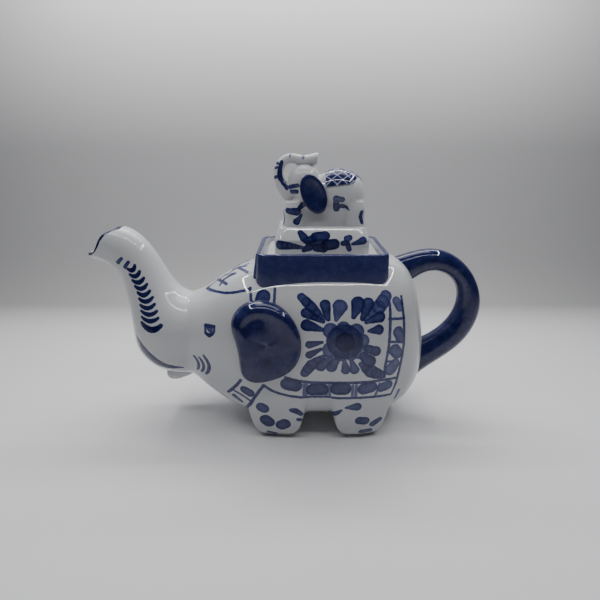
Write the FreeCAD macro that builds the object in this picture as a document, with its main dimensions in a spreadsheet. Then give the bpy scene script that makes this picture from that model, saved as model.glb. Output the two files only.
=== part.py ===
"""An elephant teapot of slip-cast porcelain, in millimetres.

The trunk is the spout and points to -X, the loop handle is at +X, and +Z is up. The origin is on the
table, under the middle of the overall length. Each casting and sprig that is luted onto the pot, and each one
that makes up the lid, is a solid of its own.
"""

import FreeCAD
import Part
import math
import os

import Sketcher

OUT = "parts"
UP = FreeCAD.Vector(0, 0, 1)
# A section plane that faces +X: its own x axis is the pot's Y, and its own y axis is the pot's Z.
FACING_X = FreeCAD.Rotation(FreeCAD.Vector(1, 1, 1), 120)
# A section plane that faces -Y: its own x axis is the pot's X, and its own y axis is the pot's Z.
FACING_Y = FreeCAD.Rotation(FreeCAD.Vector(1, 0, 0), 90)

doc = FreeCAD.newDocument("elephant_teapot")
sheet = doc.addObject("Spreadsheet::Sheet", "dims")
sheet_row = 0


def cell(alias, value):
    """Writes a driving dimension to the sheet and returns the expression that reads it."""
    global sheet_row
    sheet_row += 1
    sheet.set(f"A{sheet_row}", alias)
    sheet.set(f"B{sheet_row}", str(value))
    sheet.setAlias(f"B{sheet_row}", alias)
    return f"dims.{alias}"


def value(expression):
    """The number that a cell holds, for geometry that needs a first guess or a plain shape."""
    doc.recompute([sheet])
    return float(sheet.get(expression.removeprefix("dims.")))


def bind(thing, **expressions):
    """Binds properties to expressions. A double underscore in a name stands for a dot."""
    for name, expression in expressions.items():
        thing.setExpression(name.replace("__", "."), expression)
    return thing


# ---------------------------------------------------------------- driving dimensions

WALL = cell("wall", 4)  # of the pot's castings
THIN_WALL = cell("thin_wall", 3)  # of the spout's and the lid's castings
ROUNDNESS = cell("roundness", 0.8)  # corner radius of a body section over its half width

# The body casting, from the brow behind the trunk to the rump: each section's place, belly, back, half width.
BODY_SECTIONS = {
    "brow": (-63, 32, 85, 23),
    "cheek": (-50, 24, 88.5, 28),
    "nape": (-38, 17, 97, 32),
    "neck": (-24, 12, 103.5, 36),
    "shoulder": (-4, 10, 107, 38.5),
    "barrel": (20, 9.5, 108, 39.5),
    "loin": (45, 9.5, 108, 39),
    "hip": (62, 10.5, 106.5, 36.5),
    "croup": (72, 14, 98, 32),
    "rump": (79, 22, 80, 26),
    "tail_end": (83, 31, 62, 18),
}

# The trunk: each section runs from a point on its underside to one on its upper side, with its half width.
TRUNK_SECTIONS = {
    "root": (-60, 31, -59.5, 85.5, 22),
    "chin": (-80, 32, -66, 88, 22.5),
    "mouth": (-92, 40, -69.5, 91, 21.5),
    "snout": (-97.4, 66, -75, 99.5, 16),
    "lower_bend": (-98.2, 79, -77.6, 105, 13.2),
    "bend": (-102.2, 96.5, -85.5, 117, 11.2),
    "flare": (-114.5, 104.8, -102, 125.6, 11.8),
    "past_tip": (-128, 106, -114, 128, 13),
}

# The loop handle: each section runs from the inside of the loop to its outside, with a half width across it.
HANDLE_SECTIONS = {
    "top_root": (67, 84, 58, 104, 7.6),
    "top_start": (75.5, 92, 69, 108.4, 6.9),
    "top_rise": (82.6, 98, 80.5, 111.6, 6.6),
    "crest": (91, 98.8, 93.5, 111.4, 6.3),
    "top_turn": (100.2, 94.8, 108.6, 103.4, 5.9),
    "reach": (105.4, 84, 120, 82.5, 6.6),
    "low_turn": (103.9, 71.5, 116.8, 60, 6.8),
    "low_start": (95.5, 60, 103, 44.4, 7.1),
    "low_root": (84.5, 52.6, 84, 30, 7.8),
    "buried_root": (76, 52, 76, 26, 8),
}

# A leg stub, from the sole up into the body: height above the table, half length, half width.
LEG_SECTIONS = {
    "sole": (0, 8.5, 7.5),
    "toe": (1.4, 11.8, 10.4),
    "pastern": (5, 14.6, 12.6),
    "shin": (12, 16.6, 14),
    "knee": (26, 17.6, 14.5),
}
LEG_HOLLOW = {
    "hollow_sole": (4, 7, 6),
    "hollow_shin": (12, 12.6, 10),
    "hollow_knee": (28, 13.4, 10.4),
}
LEG_Y = cell("leg_y", 22)
LEG_PLACES = {"front": cell("front_leg_x", -6.5), "rear": cell("rear_leg_x", 43.6)}

# The lid's elephant: its raised trunk, from the chest round to the tip on its brow, as for the spout.
FINIAL_TRUNK_SECTIONS = {
    "finial_chest": (-0.6, 139, 6, 148, 4.6),
    "finial_lip": (-5.6, 146, 1, 150, 3.7),
    "finial_rise": (-8, 154, -2.2, 154.6, 2.8),
    "finial_bend": (-6.8, 162, -1.7, 158.6, 2.8),
    "finial_top": (-0.6, 166.6, 0.6, 161, 2.7),
    "finial_dip": (8.6, 164.8, 7.2, 159.4, 2.6),
    "finial_tip": (17.2, 166.9, 18.2, 160.4, 3.2),
}

# ---------------------------------------------------------------- building blocks


def outline_points(width, height, radius, low):
    """The first guess of a rounded rectangle, centred on the vertical axis, as eight lines and arcs."""
    corner = FreeCAD.Vector
    left, right, high = -width / 2, width / 2, low + height
    centres = [
        (right - radius, low + radius, -90),
        (right - radius, high - radius, 0),
        (left + radius, high - radius, 90),
        (left + radius, low + radius, 180),
    ]
    ends = [
        ((left + radius, low), (right - radius, low)),
        ((right, low + radius), (right, high - radius)),
        ((right - radius, high), (left + radius, high)),
        ((left, high - radius), (left, low + radius)),
    ]
    shapes = []
    for (start, end), (x, y, turn) in zip(ends, centres):
        shapes.append(Part.LineSegment(corner(*start, 0), corner(*end, 0)))
        circle = Part.Circle(corner(x, y, 0), UP, radius)
        shapes.append(Part.ArcOfCircle(circle, math.radians(turn), math.radians(turn + 90)))
    return shapes


def rounded_rectangle(sketch, half_width, low, high, radius):
    """Draws a rounded rectangle in a sketch and binds it: each argument is an expression."""
    names = {"half": half_width, "low": low, "high": high, "radius": radius}
    guess = {name: evaluate(expression) for name, expression in names.items()}
    height = guess["high"] - guess["low"]
    shapes = outline_points(2 * guess["half"], height, guess["radius"], guess["low"])
    for shape in shapes:
        sketch.addGeometry(shape, False)
    for i in range(8):
        sketch.addConstraint(Sketcher.Constraint("Tangent", i, 2, (i + 1) % 8, 1))
    for i in (0, 4):
        sketch.addConstraint(Sketcher.Constraint("Horizontal", i))
        sketch.addConstraint(Sketcher.Constraint("Vertical", i + 2))
    for i in (3, 5, 7):
        sketch.addConstraint(Sketcher.Constraint("Equal", 1, i))
    sizes = [
        ("right", Sketcher.Constraint("DistanceX", -1, 1, 2, 1, guess["half"]), half_width),
        ("left", Sketcher.Constraint("DistanceX", 6, 1, -1, 1, guess["half"]), half_width),
        ("low", signed_height(0, guess["low"]), low),
        ("high", signed_height(4, guess["high"]), high),
        ("radius", Sketcher.Constraint("Radius", 1, guess["radius"]), radius),
    ]
    for name, constraint, expression in sizes:
        index = sketch.addConstraint(constraint)
        sketch.renameConstraint(index, name)
        flip = name in ("low", "high") and guess[name] < 0
        sketch.setExpression(f"Constraints.{name}", f"-({expression})" if flip else expression)
    return sketch


def signed_height(line, height):
    """A height above the sketch's origin, written downwards where it is negative."""
    if height < 0:
        return Sketcher.Constraint("DistanceY", line, 1, -1, 1, -height)
    return Sketcher.Constraint("DistanceY", -1, 1, line, 1, height)


def evaluate(expression):
    """The number that an expression gives now."""
    doc.recompute([sheet])
    result = sheet.evalExpression(str(expression))
    return float(getattr(result, "Value", result))


def section_cells(prefix, names, sections):
    """Writes each section's numbers to the sheet. Returns a list of {name: expression}."""
    return [
        {name: cell(f"{prefix}_{section}_{name}", number) for name, number in zip(names, numbers)}
        for section, numbers in sections.items()
    ]


def body_loft(name, cells, outward="0"):
    """The body's outer form, with every section moved outward by that much, as a solid loft."""
    sketches = []
    for i, section in enumerate(cells):
        sketch = doc.addObject("Sketcher::SketchObject", f"{name}_section_{i}")
        sketch.Placement = FreeCAD.Placement(FreeCAD.Vector(), FACING_X)
        end = {0: "-1", len(cells) - 1: "1"}.get(i, "0")
        bind(sketch, Placement__Base__x=f"{section['x']} + {end} * ({outward})")
        half = f"{section['half']} + ({outward})"
        rounded_rectangle(
            sketch,
            half,
            f"{section['belly']} - ({outward})",
            f"{section['back']} + ({outward})",
            f"{ROUNDNESS} * ({half})",
        )
        sketches.append(sketch)
    return loft(name, sketches)


def loft(name, sections):
    """A solid through closed sections."""
    made = doc.addObject("Part::Loft", name)
    made.Sections = sections
    made.Solid = True
    made.Ruled = False
    return made


def swept_ellipses(name, cells, inset="0"):
    """A solid through upright ellipses, each set by the two ends of its long axis and a half width."""
    ellipses = []
    for i, section in enumerate(cells):
        ellipse = doc.addObject("Part::Ellipse", f"{name}_section_{i}")
        run = f"({section['x_2']} - {section['x_1']})"
        rise = f"({section['z_2']} - {section['z_1']})"
        middle = f"{section['x_1']} + {run} / 2; 0; {section['z_1']} + {rise} / 2"
        turn = f"create(<<rotation>>; create(<<vector>>; 0; -1; 0); atan2({rise}; {run}))"
        bind(
            ellipse,
            MajorRadius=f"hypot({run}; {rise}) / 2 - ({inset})",
            MinorRadius=f"{section['half']} - ({inset})",
            Placement=f"create(<<placement>>; create(<<vector>>; {middle}); {turn})",
        )
        ellipses.append(ellipse)
    return loft(name, ellipses)


def cut(name, base, tools):
    """base less every tool, one after another."""
    for i, tool in enumerate(tools, 1):
        made = doc.addObject("Part::Cut", name if i == len(tools) else f"{name}_less_{i}")
        made.Base = base
        made.Tool = tool
        base = made
    return made


def fuse(name, shapes):
    """All the shapes as one."""
    made = doc.addObject("Part::MultiFuse", name)
    made.Shapes = shapes
    return made


def common(name, base, tool):
    """What base and tool share."""
    made = doc.addObject("Part::Common", name)
    made.Base = base
    made.Tool = tool
    return made


def mirrored(name, source):
    """source mirrored to the other side of the pot's middle plane."""
    made = doc.addObject("Part::Mirroring", name)
    made.Source = source
    made.Normal = FreeCAD.Vector(0, 1, 0)
    return made


def extruded(name, sketch, length, start="0"):
    """A flat shape drawn across Y, carried along -Y from start by length."""
    made = doc.addObject("Part::Extrusion", name)
    made.Base = sketch
    made.DirMode = "Custom"
    made.Dir = FreeCAD.Vector(0, -1, 0)
    made.Solid = True
    bind(made, LengthFwd=f"{start} + {length}", LengthRev=f"-({start})")
    return made


def box(name, x, y, z, length, width, height):
    """A block from its lowest corner. Each argument is an expression."""
    made = doc.addObject("Part::Box", name)
    return bind(
        made,
        Placement__Base__x=x,
        Placement__Base__y=y,
        Placement__Base__z=z,
        Length=length,
        Width=width,
        Height=height,
    )


def ellipsoid(name, x, y, z, radius_x, radius_y, radius_z):
    """A full ellipsoid. Each argument is an expression."""
    made = doc.addObject("Part::Ellipsoid", name)
    made.Angle1, made.Angle2 = -90, 90
    return bind(
        made,
        Placement__Base__x=x,
        Placement__Base__y=y,
        Placement__Base__z=z,
        Radius1=radius_z,
        Radius2=radius_x,
        Radius3=radius_y,
    )


def plane_sketch(body, name, height, role="XY_Plane"):
    """A sketch on one of the body's own origin planes, lifted by an expression."""
    plane = next(f for f in body.Origin.OriginFeatures if f.Role == role)
    sketch = body.newObject("Sketcher::SketchObject", name)
    sketch.AttachmentSupport = (plane, [""])
    sketch.MapMode = "FlatFace"
    return bind(sketch, AttachmentOffset__Base__z=height)


def block_sketch(body, name, height, half_length, half_width, radius):
    """A rounded rectangle about the middle of a piece that sits over the lid opening."""
    sketch = plane_sketch(body, name, height)
    return rounded_rectangle(sketch, half_length, f"-({half_width})", half_width, radius)


def pad(body, name, sketch, length, taper="0"):
    """Carries a sketch upwards; a negative taper leans its walls inwards."""
    made = body.newObject("PartDesign::Pad", name)
    made.Profile = sketch
    bind(made, Length=length, TaperAngle=taper)
    doc.recompute()
    return made


def pocket(body, name, sketch, length):
    """Cuts upwards from the sketch, and stops the build if nothing was cut."""
    before = body.Shape.Volume
    made = body.newObject("PartDesign::Pocket", name)
    made.Profile = sketch
    made.Reversed = True
    bind(made, Length=length)
    doc.recompute()
    if not body.Shape.Volume < before:
        raise RuntimeError(f"{name} cut nothing")
    return made


# ---------------------------------------------------------------- the pot's body and legs

sections = section_cells("body", ("x", "belly", "back", "half"), BODY_SECTIONS)
body_form = body_loft("body_form", sections)
body_hollow = body_loft("body_hollow", sections, f"-{WALL}")

OPENING_X = cell("opening_x", 20)  # the middle of the lid opening, and of all that sits over it
OPENING_LENGTH = cell("opening_length", 57)
OPENING_WIDTH = cell("opening_width", 40)
OPENING_CUT = cell("opening_cut", 60)  # how tall the cutter is, half of it above the back
STRAINER_Z = cell("strainer_z", 58)
STRAINER_RADIUS = cell("strainer_radius", 15)


def leg_loft(name, place, cells):
    """A solid through flat ellipses over one another, at a leg on the near side."""
    ellipses = []
    for i, section in enumerate(cells):
        ellipse = doc.addObject("Part::Ellipse", f"{name}_section_{i}")
        bind(
            ellipse,
            MajorRadius=section["long"],
            MinorRadius=section["wide"],
            Placement__Base__x=place,
            Placement__Base__y=f"-{LEG_Y}",
            Placement__Base__z=section["height"],
        )
        ellipses.append(ellipse)
    return loft(name, ellipses)


leg_cells = section_cells("leg", ("height", "long", "wide"), LEG_SECTIONS)
hollow_cells = section_cells("leg", ("height", "long", "wide"), LEG_HOLLOW)
hollows, legs = [], []
for place, x in LEG_PLACES.items():
    hollow = leg_loft(f"{place}_leg_hollow", x, hollow_cells)
    form = leg_loft(f"{place}_leg_form", x, leg_cells)
    right = cut(f"{place}_right_leg", form, [body_form, hollow])
    legs += [right, mirrored(f"{place}_left_leg", right)]
    hollows += [hollow, mirrored(f"{place}_left_hollow", hollow)]

lid_opening = doc.addObject("PartDesign::Body", "lid_opening")
bind(lid_opening, Placement__Base__x=OPENING_X)
opening_sketch = block_sketch(
    lid_opening,
    "opening_outline",
    f"dims.body_barrel_back - {OPENING_CUT} / 2",
    f"{OPENING_LENGTH} / 2",
    f"{OPENING_WIDTH} / 2",
    cell("opening_corner", 7),
)
pad(lid_opening, "opening_prism", opening_sketch, OPENING_CUT)

strainer_seat = doc.addObject("Part::Cylinder", "strainer_seat")
strainer_seat.Placement.Rotation = FreeCAD.Rotation(FreeCAD.Vector(0, 1, 0), 90)
bind(
    strainer_seat,
    Radius=STRAINER_RADIUS,
    Height=f"3 * {WALL}",
    Placement__Base__x=f"dims.body_brow_x - {WALL}",
    Placement__Base__z=STRAINER_Z,
)
pot_body = cut("pot_body", body_form, [body_hollow, lid_opening, strainer_seat, *hollows])

# ---------------------------------------------------------------- the strainer behind the trunk

strainer = doc.addObject("PartDesign::Body", "spout_strainer")
strainer.Placement.Rotation = FACING_X
bind(strainer, Placement__Base__x="dims.body_brow_x", Placement__Base__z=STRAINER_Z)
disc_sketch = plane_sketch(strainer, "disc_outline", "0")
disc_sketch.addGeometry(Part.Circle(FreeCAD.Vector(), UP, value(STRAINER_RADIUS)), False)
disc_sketch.addConstraint(Sketcher.Constraint("Coincident", 0, 3, -1, 1))
disc_sketch.renameConstraint(
    disc_sketch.addConstraint(Sketcher.Constraint("Radius", 0, value(STRAINER_RADIUS))), "radius"
)
bind(disc_sketch, Constraints__radius=STRAINER_RADIUS)
pad(strainer, "disc", disc_sketch, WALL)

PIERCING = cell("piercing_radius", 1.9)


def piercings(name, ring, count):
    """Round holes through the disc, on a ring about its middle, or one hole in the middle."""
    sketch = plane_sketch(strainer, f"{name}_outline", "0")
    middle = FreeCAD.Vector(0, evaluate(ring), 0)
    sketch.addGeometry(Part.Circle(middle, UP, value(PIERCING)), False)
    radius = sketch.addConstraint(Sketcher.Constraint("Radius", 0, value(PIERCING)))
    sketch.renameConstraint(radius, "radius")
    bind(sketch, Constraints__radius=PIERCING)
    if count == 1:
        sketch.addConstraint(Sketcher.Constraint("Coincident", 0, 3, -1, 1))
    else:
        sketch.addConstraint(Sketcher.Constraint("PointOnObject", 0, 3, -2))
        away = Sketcher.Constraint("DistanceY", -1, 1, 0, 3, evaluate(ring))
        sketch.renameConstraint(sketch.addConstraint(away), "ring")
        bind(sketch, Constraints__ring=ring)
    hole = pocket(strainer, name, sketch, WALL)
    if count == 1:
        return
    pattern = strainer.newObject("PartDesign::PolarPattern", f"{name}_ring")
    pattern.Originals = [hole]
    pattern.Axis = (sketch, ["N_Axis"])
    pattern.Angle = 360
    pattern.Occurrences = count
    strainer.Tip = pattern
    doc.recompute()


piercings("middle_hole", "0", 1)
piercings("inner_holes", cell("inner_ring", 5.6), 6)
piercings("outer_holes", cell("outer_ring", 11), 12)

# ---------------------------------------------------------------- the trunk spout

TRUNK_NAMES = ("x_1", "z_1", "x_2", "z_2", "half")
trunk_cells = section_cells("trunk", TRUNK_NAMES, TRUNK_SECTIONS)
trunk_form = swept_ellipses("trunk_form", trunk_cells)
trunk_bore = swept_ellipses("trunk_bore", trunk_cells, THIN_WALL)

# The mouth is cut to an S-curve: it dips below its chord near the lower lip and rises over it near the upper.
MOUTH = {
    "lower": (cell("mouth_lower_x", -120), cell("mouth_lower_z", 108.6)),
    "middle": (cell("mouth_middle_x", -109.8), cell("mouth_middle_z", 116)),
    "upper": (cell("mouth_upper_x", -99.4), cell("mouth_upper_z", 125.4)),
}
MOUTH_RADIUS = cell("mouth_radius", 18)
MOUTH_REACH = 30  # how far the cutter runs past the lips
MOUTH_DROP = 20  # how far it runs on below the lower lip


def mouth_outline():
    """The closed outline of what is cut away from the trunk's end, with two arcs as the mouth's own edge."""
    sketch = doc.addObject("Sketcher::SketchObject", "mouth_outline")
    sketch.Placement = FreeCAD.Placement(FreeCAD.Vector(), FACING_Y)
    lower, middle, upper = (
        FreeCAD.Vector(value(x), value(z), 0) for x, z in (MOUTH["lower"], MOUTH["middle"], MOUTH["upper"])
    )
    for start, end, side in ((lower, middle, 1), (middle, upper, -1)):
        chord = end - start
        across = FreeCAD.Vector(chord.y, -chord.x, 0).normalize()
        radius = value(MOUTH_RADIUS)
        sagitta = radius - (radius**2 - (chord.Length / 2) ** 2) ** 0.5
        via = (start + end) / 2 + across * sagitta * side
        sketch.addGeometry(Part.Arc(start, via, end), False)
    far = FreeCAD.Vector(lower.x - MOUTH_REACH, upper.y + MOUTH_REACH, 0)
    below = lower.y - MOUTH_DROP
    corners = [
        upper,
        FreeCAD.Vector(upper.x, far.y, 0),
        far,
        FreeCAD.Vector(far.x, below, 0),
        FreeCAD.Vector(lower.x, below, 0),
        lower,
    ]
    for start, end in zip(corners, corners[1:]):
        sketch.addGeometry(Part.LineSegment(start, end), False)
    directions = {2: "Vertical", 3: "Horizontal", 4: "Vertical", 5: "Horizontal", 6: "Vertical"}
    for line, direction in directions.items():
        sketch.addConstraint(Sketcher.Constraint(direction, line))
    for line in (2, 3, 4, 5):
        sketch.addConstraint(Sketcher.Constraint("Coincident", line, 2, line + 1, 1))
    # An arc's own ends run anticlockwise, so the first starts at the lower lip and the second at the upper.
    joins = [((0, 1), (6, 2)), ((0, 2), (1, 2)), ((1, 1), (2, 1))]
    for (a, a_end), (b, b_end) in joins:
        sketch.addConstraint(Sketcher.Constraint("Coincident", a, a_end, b, b_end))
    for name, (element, end) in {"lower": (0, 1), "middle": (0, 2), "upper": (1, 1)}.items():
        x, z = MOUTH[name]
        place = Sketcher.Constraint("DistanceX", element, end, -1, 1, -value(x))
        sketch.renameConstraint(sketch.addConstraint(place), f"{name}_x")
        place = Sketcher.Constraint("DistanceY", -1, 1, element, end, value(z))
        sketch.renameConstraint(sketch.addConstraint(place), f"{name}_z")
        sketch.setExpression(f"Constraints.{name}_x", f"-{x}")
        sketch.setExpression(f"Constraints.{name}_z", z)
    for arc in (0, 1):
        bend = Sketcher.Constraint("Radius", arc, value(MOUTH_RADIUS))
        sketch.renameConstraint(sketch.addConstraint(bend), f"bend_{arc}")
        sketch.setExpression(f"Constraints.bend_{arc}", MOUTH_RADIUS)
    sketch.addConstraint(Sketcher.Constraint("DistanceY", 2, 1, 2, 2, MOUTH_REACH))
    sketch.addConstraint(Sketcher.Constraint("DistanceX", 5, 1, 5, 2, MOUTH_REACH))
    sketch.addConstraint(Sketcher.Constraint("DistanceY", 6, 1, 6, 2, MOUTH_DROP))
    return sketch


mouth_cutter = extruded("mouth_cutter", mouth_outline(), "80", "-40")
trunk_spout = cut("trunk_spout", trunk_form, [body_form, mouth_cutter, trunk_bore])

# The lower lip shows under the trunk: a small pointed form between the trunk's chin and the cheeks.
lip_form = ellipsoid(
    "lip_form",
    cell("lip_x", -70),
    "0",
    cell("lip_z", 31),
    cell("lip_length", 9),
    cell("lip_width", 8),
    cell("lip_height", 6.5),
)
lower_lip = cut("lower_lip", lip_form, [trunk_form, body_form])

# ---------------------------------------------------------------- the handle

handle_cells = section_cells("handle", TRUNK_NAMES, HANDLE_SECTIONS)
reach = list(HANDLE_SECTIONS).index("reach")
handle_form = fuse(
    "handle_form",
    [
        swept_ellipses("handle_over", handle_cells[: reach + 1]),
        swept_ellipses("handle_under", handle_cells[reach:]),
    ],
)
handle = cut("handle", handle_form, [body_form])

# ---------------------------------------------------------------- the ears

EAR_THICKNESS = cell("ear_thickness", 5.5)
EAR_OUTLINE = [
    (-30.8, 76.5),
    (-25.5, 85.6),
    (-15, 89.6),
    (-4.4, 86.8),
    (4.6, 76.4),
    (7.2, 66),
    (2.4, 53.2),
    (-8, 46),
    (-18, 43.8),
    (-25.8, 49.5),
    (-26.8, 62),
]
ear_outline = doc.addObject("Part::Feature", "ear_outline")
ear_curve = Part.BSplineCurve()
ear_curve.interpolate([FreeCAD.Vector(x, 0, z) for x, z in EAR_OUTLINE], PeriodicFlag=True)
ear_outline.Shape = Part.Face(Part.Wire(ear_curve.toShape()))
ear_skin = body_loft("ear_skin", sections, EAR_THICKNESS)
ear_pad = common("ear_pad", extruded("ear_prism", ear_outline, "60"), ear_skin)
right_ear = cut("right_ear", ear_pad, [body_form])
left_ear = mirrored("left_ear", right_ear)

# ---------------------------------------------------------------- the howdah collar round the lid opening

RIM_Z = cell("rim_z", 114.7)
SEAT_Z = cell("seat_z", 108.6)  # the ledge that the lid rests on
COLLAR_LENGTH = cell("collar_length", 74)
COLLAR_WIDTH = cell("collar_width", 57)
COLLAR_CORNER = cell("collar_corner", 9)
COLLAR_WALL = cell("collar_wall", 3.2)
COLLAR_TAPER = cell("collar_taper", 2.6)
COLLAR_BASE_Z = cell("collar_base_z", 90)

collar_body = doc.addObject("PartDesign::Body", "collar_body")
bind(collar_body, Placement__Base__x=OPENING_X)
collar_sketch = block_sketch(
    collar_body, "collar_outline", COLLAR_BASE_Z, f"{COLLAR_LENGTH} / 2", f"{COLLAR_WIDTH} / 2", COLLAR_CORNER
)
pad(collar_body, "collar_block", collar_sketch, f"{RIM_Z} - {COLLAR_BASE_Z}", f"-{COLLAR_TAPER}")
INNER_HALF_LENGTH = f"({COLLAR_LENGTH} / 2 - {COLLAR_WALL} - 1)"
INNER_HALF_WIDTH = f"({COLLAR_WIDTH} / 2 - {COLLAR_WALL} - 1)"
seat_sketch = block_sketch(
    collar_body, "seat_outline", SEAT_Z, INNER_HALF_LENGTH, INNER_HALF_WIDTH, f"{COLLAR_CORNER} - 2"
)
pocket(collar_body, "seat", seat_sketch, f"{RIM_Z} - {SEAT_Z}")
throat_sketch = block_sketch(
    collar_body,
    "throat_outline",
    COLLAR_BASE_Z,
    f"{OPENING_LENGTH} / 2",
    f"{OPENING_WIDTH} / 2",
    "dims.opening_corner",
)
pocket(collar_body, "throat", throat_sketch, f"{RIM_Z} - {COLLAR_BASE_Z}")
collar_on_back = cut("howdah_collar", collar_body, [body_form])

# ---------------------------------------------------------------- the lid

LID_CLEARANCE = cell("lid_clearance", 0.7)
PLATE_THICKNESS = cell("plate_thickness", 3.8)
PLATE_HALF_LENGTH = f"({INNER_HALF_LENGTH} - {LID_CLEARANCE})"
PLATE_HALF_WIDTH = f"({INNER_HALF_WIDTH} - {LID_CLEARANCE})"
FLANGE_HALF_LENGTH = f"({OPENING_LENGTH} / 2 - 1.2)"
FLANGE_HALF_WIDTH = f"({OPENING_WIDTH} / 2 - 1.2)"
FLANGE_DEPTH = cell("flange_depth", 8)
PLATE_TOP = f"({SEAT_Z} + {PLATE_THICKNESS})"
HOLLOW_HALF_LENGTH = cell("lid_hollow_half_length", 22)
HOLLOW_HALF_WIDTH = cell("lid_hollow_half_width", 13)
LID_CORNER = cell("lid_corner", 6)


def lid_piece(name):
    """An empty body whose own origin is under the middle of the lid."""
    made = doc.addObject("PartDesign::Body", name)
    return bind(made, Placement__Base__x=OPENING_X)


lid_plate = lid_piece("lid_plate")
plate_sketch = block_sketch(
    lid_plate, "plate_outline", SEAT_Z, PLATE_HALF_LENGTH, PLATE_HALF_WIDTH, f"{COLLAR_CORNER} - 2.7"
)
pad(lid_plate, "plate", plate_sketch, PLATE_THICKNESS)
plate_hollow = block_sketch(
    lid_plate, "plate_hollow", SEAT_Z, HOLLOW_HALF_LENGTH, HOLLOW_HALF_WIDTH, LID_CORNER
)
pocket(lid_plate, "hollow", plate_hollow, PLATE_THICKNESS)

lid_flange = lid_piece("lid_flange")
flange_low = f"{SEAT_Z} - {FLANGE_DEPTH}"
flange_sketch = block_sketch(
    lid_flange, "flange_outline", flange_low, FLANGE_HALF_LENGTH, FLANGE_HALF_WIDTH, LID_CORNER
)
pad(lid_flange, "flange", flange_sketch, FLANGE_DEPTH)
flange_hollow = block_sketch(
    lid_flange,
    "flange_hollow",
    flange_low,
    f"{FLANGE_HALF_LENGTH} - {THIN_WALL}",
    f"{FLANGE_HALF_WIDTH} - {THIN_WALL}",
    f"{LID_CORNER} - 2",
)
pocket(lid_flange, "ring", flange_hollow, FLANGE_DEPTH)

# The plinth stands upright to a crease and leans in above it, as a hipped roof does.
CREASE_Z = cell("crease_z", 120.4)
PLINTH_TOP_Z = cell("plinth_top_z", 127)
PLINTH_HALF_LENGTH = cell("plinth_half_length", 26.8)
PLINTH_HALF_WIDTH = cell("plinth_half_width", 18.5)
PLINTH_LEAN = cell("plinth_lean", 22)

lid_plinth = lid_piece("lid_plinth")
base_sketch = block_sketch(
    lid_plinth, "plinth_outline", PLATE_TOP, PLINTH_HALF_LENGTH, PLINTH_HALF_WIDTH, LID_CORNER
)
pad(lid_plinth, "plinth", base_sketch, f"{CREASE_Z} - {PLATE_TOP}")
roof_sketch = block_sketch(
    lid_plinth, "roof_outline", CREASE_Z, PLINTH_HALF_LENGTH, PLINTH_HALF_WIDTH, LID_CORNER
)
pad(lid_plinth, "roof", roof_sketch, f"{PLINTH_TOP_Z} - {CREASE_Z}", f"-{PLINTH_LEAN}")
plinth_hollow = block_sketch(
    lid_plinth, "plinth_hollow", PLATE_TOP, HOLLOW_HALF_LENGTH, HOLLOW_HALF_WIDTH, LID_CORNER
)
pocket(lid_plinth, "hollow_under", plinth_hollow, f"{PLINTH_TOP_Z} - {PLATE_TOP} - {THIN_WALL}")

# ---------------------------------------------------------------- the small elephant on the lid

# Each rounded form of the small elephant: its middle along X and Z, and its half sizes along X, Y and Z.
FINIAL_FORMS = {
    "torso": (29, 145.5, 16, 11.5, 12),
    "chest": (13, 143, 12, 10, 13),
    "head": (9.5, 152.5, 9.5, 8.5, 9.6),
}
FINIAL_NAMES = ("x", "z", "rx", "ry", "rz")
SADDLE_RISE = cell("saddle_rise", 0.9)
LEG_RADIUS = cell("finial_leg_radius", 5.2)
LEG_SPREAD = cell("finial_leg_spread", 6.2)
finial_cells = {
    form: {name: cell(f"{form}_{name}", number) for name, number in zip(FINIAL_NAMES, numbers)}
    for form, numbers in FINIAL_FORMS.items()
}


def finial_form(name, form, outward="0"):
    """One rounded form of the small elephant, grown outward by that much."""
    at = finial_cells[form]
    sizes = [f"{at[radius]} + ({outward})" for radius in ("rx", "ry", "rz")]
    return ellipsoid(name, at["x"], "0", at["z"], *sizes)


def finial_leg(name, x, side):
    """A short upright leg from the plinth up into the trunk of the body."""
    made = doc.addObject("Part::Cone", name)
    return bind(
        made,
        Radius1=f"{LEG_RADIUS} * 1.05",
        Radius2=LEG_RADIUS,
        Height="16",
        Placement__Base__x=x,
        Placement__Base__y=f"{side} * {LEG_SPREAD}",
        Placement__Base__z=PLINTH_TOP_Z,
    )


finial_parts = [finial_form(form, form) for form in FINIAL_FORMS]
for place, x in {"fore": cell("finial_fore_x", 3), "hind": cell("finial_hind_x", 39)}.items():
    finial_parts += [finial_leg(f"finial_{place}_leg_{side}", x, side) for side in (-1, 1)]
web = box(
    "finial_web",
    "dims.finial_fore_x",
    f"-{LEG_SPREAD}",
    PLINTH_TOP_Z,
    "dims.finial_hind_x - dims.finial_fore_x",
    f"2 * {LEG_SPREAD}",
    "12",
)
finial_body = fuse("finial_body", [*finial_parts, web])

finial_trunk_form = swept_ellipses(
    "finial_trunk_form", section_cells("small", TRUNK_NAMES, FINIAL_TRUNK_SECTIONS)
)
finial_trunk = cut("finial_trunk", finial_trunk_form, [finial_body])

# An ear is an upright oval flap whose top leans forward, against the shoulder.
FINIAL_EAR_LEAN = 24
finial_ear_outline = doc.addObject("Part::Ellipse", "finial_ear_outline")
finial_ear_turn = FreeCAD.Rotation(UP, 90 + FINIAL_EAR_LEAN)
finial_ear_outline.Placement.Rotation = FACING_Y.multiply(finial_ear_turn)
bind(
    finial_ear_outline,
    MajorRadius=cell("finial_ear_half_height", 10.8),
    MinorRadius=cell("finial_ear_half_length", 6.6),
    Placement__Base__x=cell("finial_ear_x", 14.8),
    Placement__Base__z=cell("finial_ear_z", 145),
)
FINIAL_EAR_INSIDE = cell("finial_ear_inside", 5)
FINIAL_EAR_OUTSIDE = cell("finial_ear_outside", 12)
finial_ear_form = extruded(
    "finial_ear_form", finial_ear_outline, f"({FINIAL_EAR_OUTSIDE} - {FINIAL_EAR_INSIDE})", FINIAL_EAR_INSIDE
)
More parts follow.
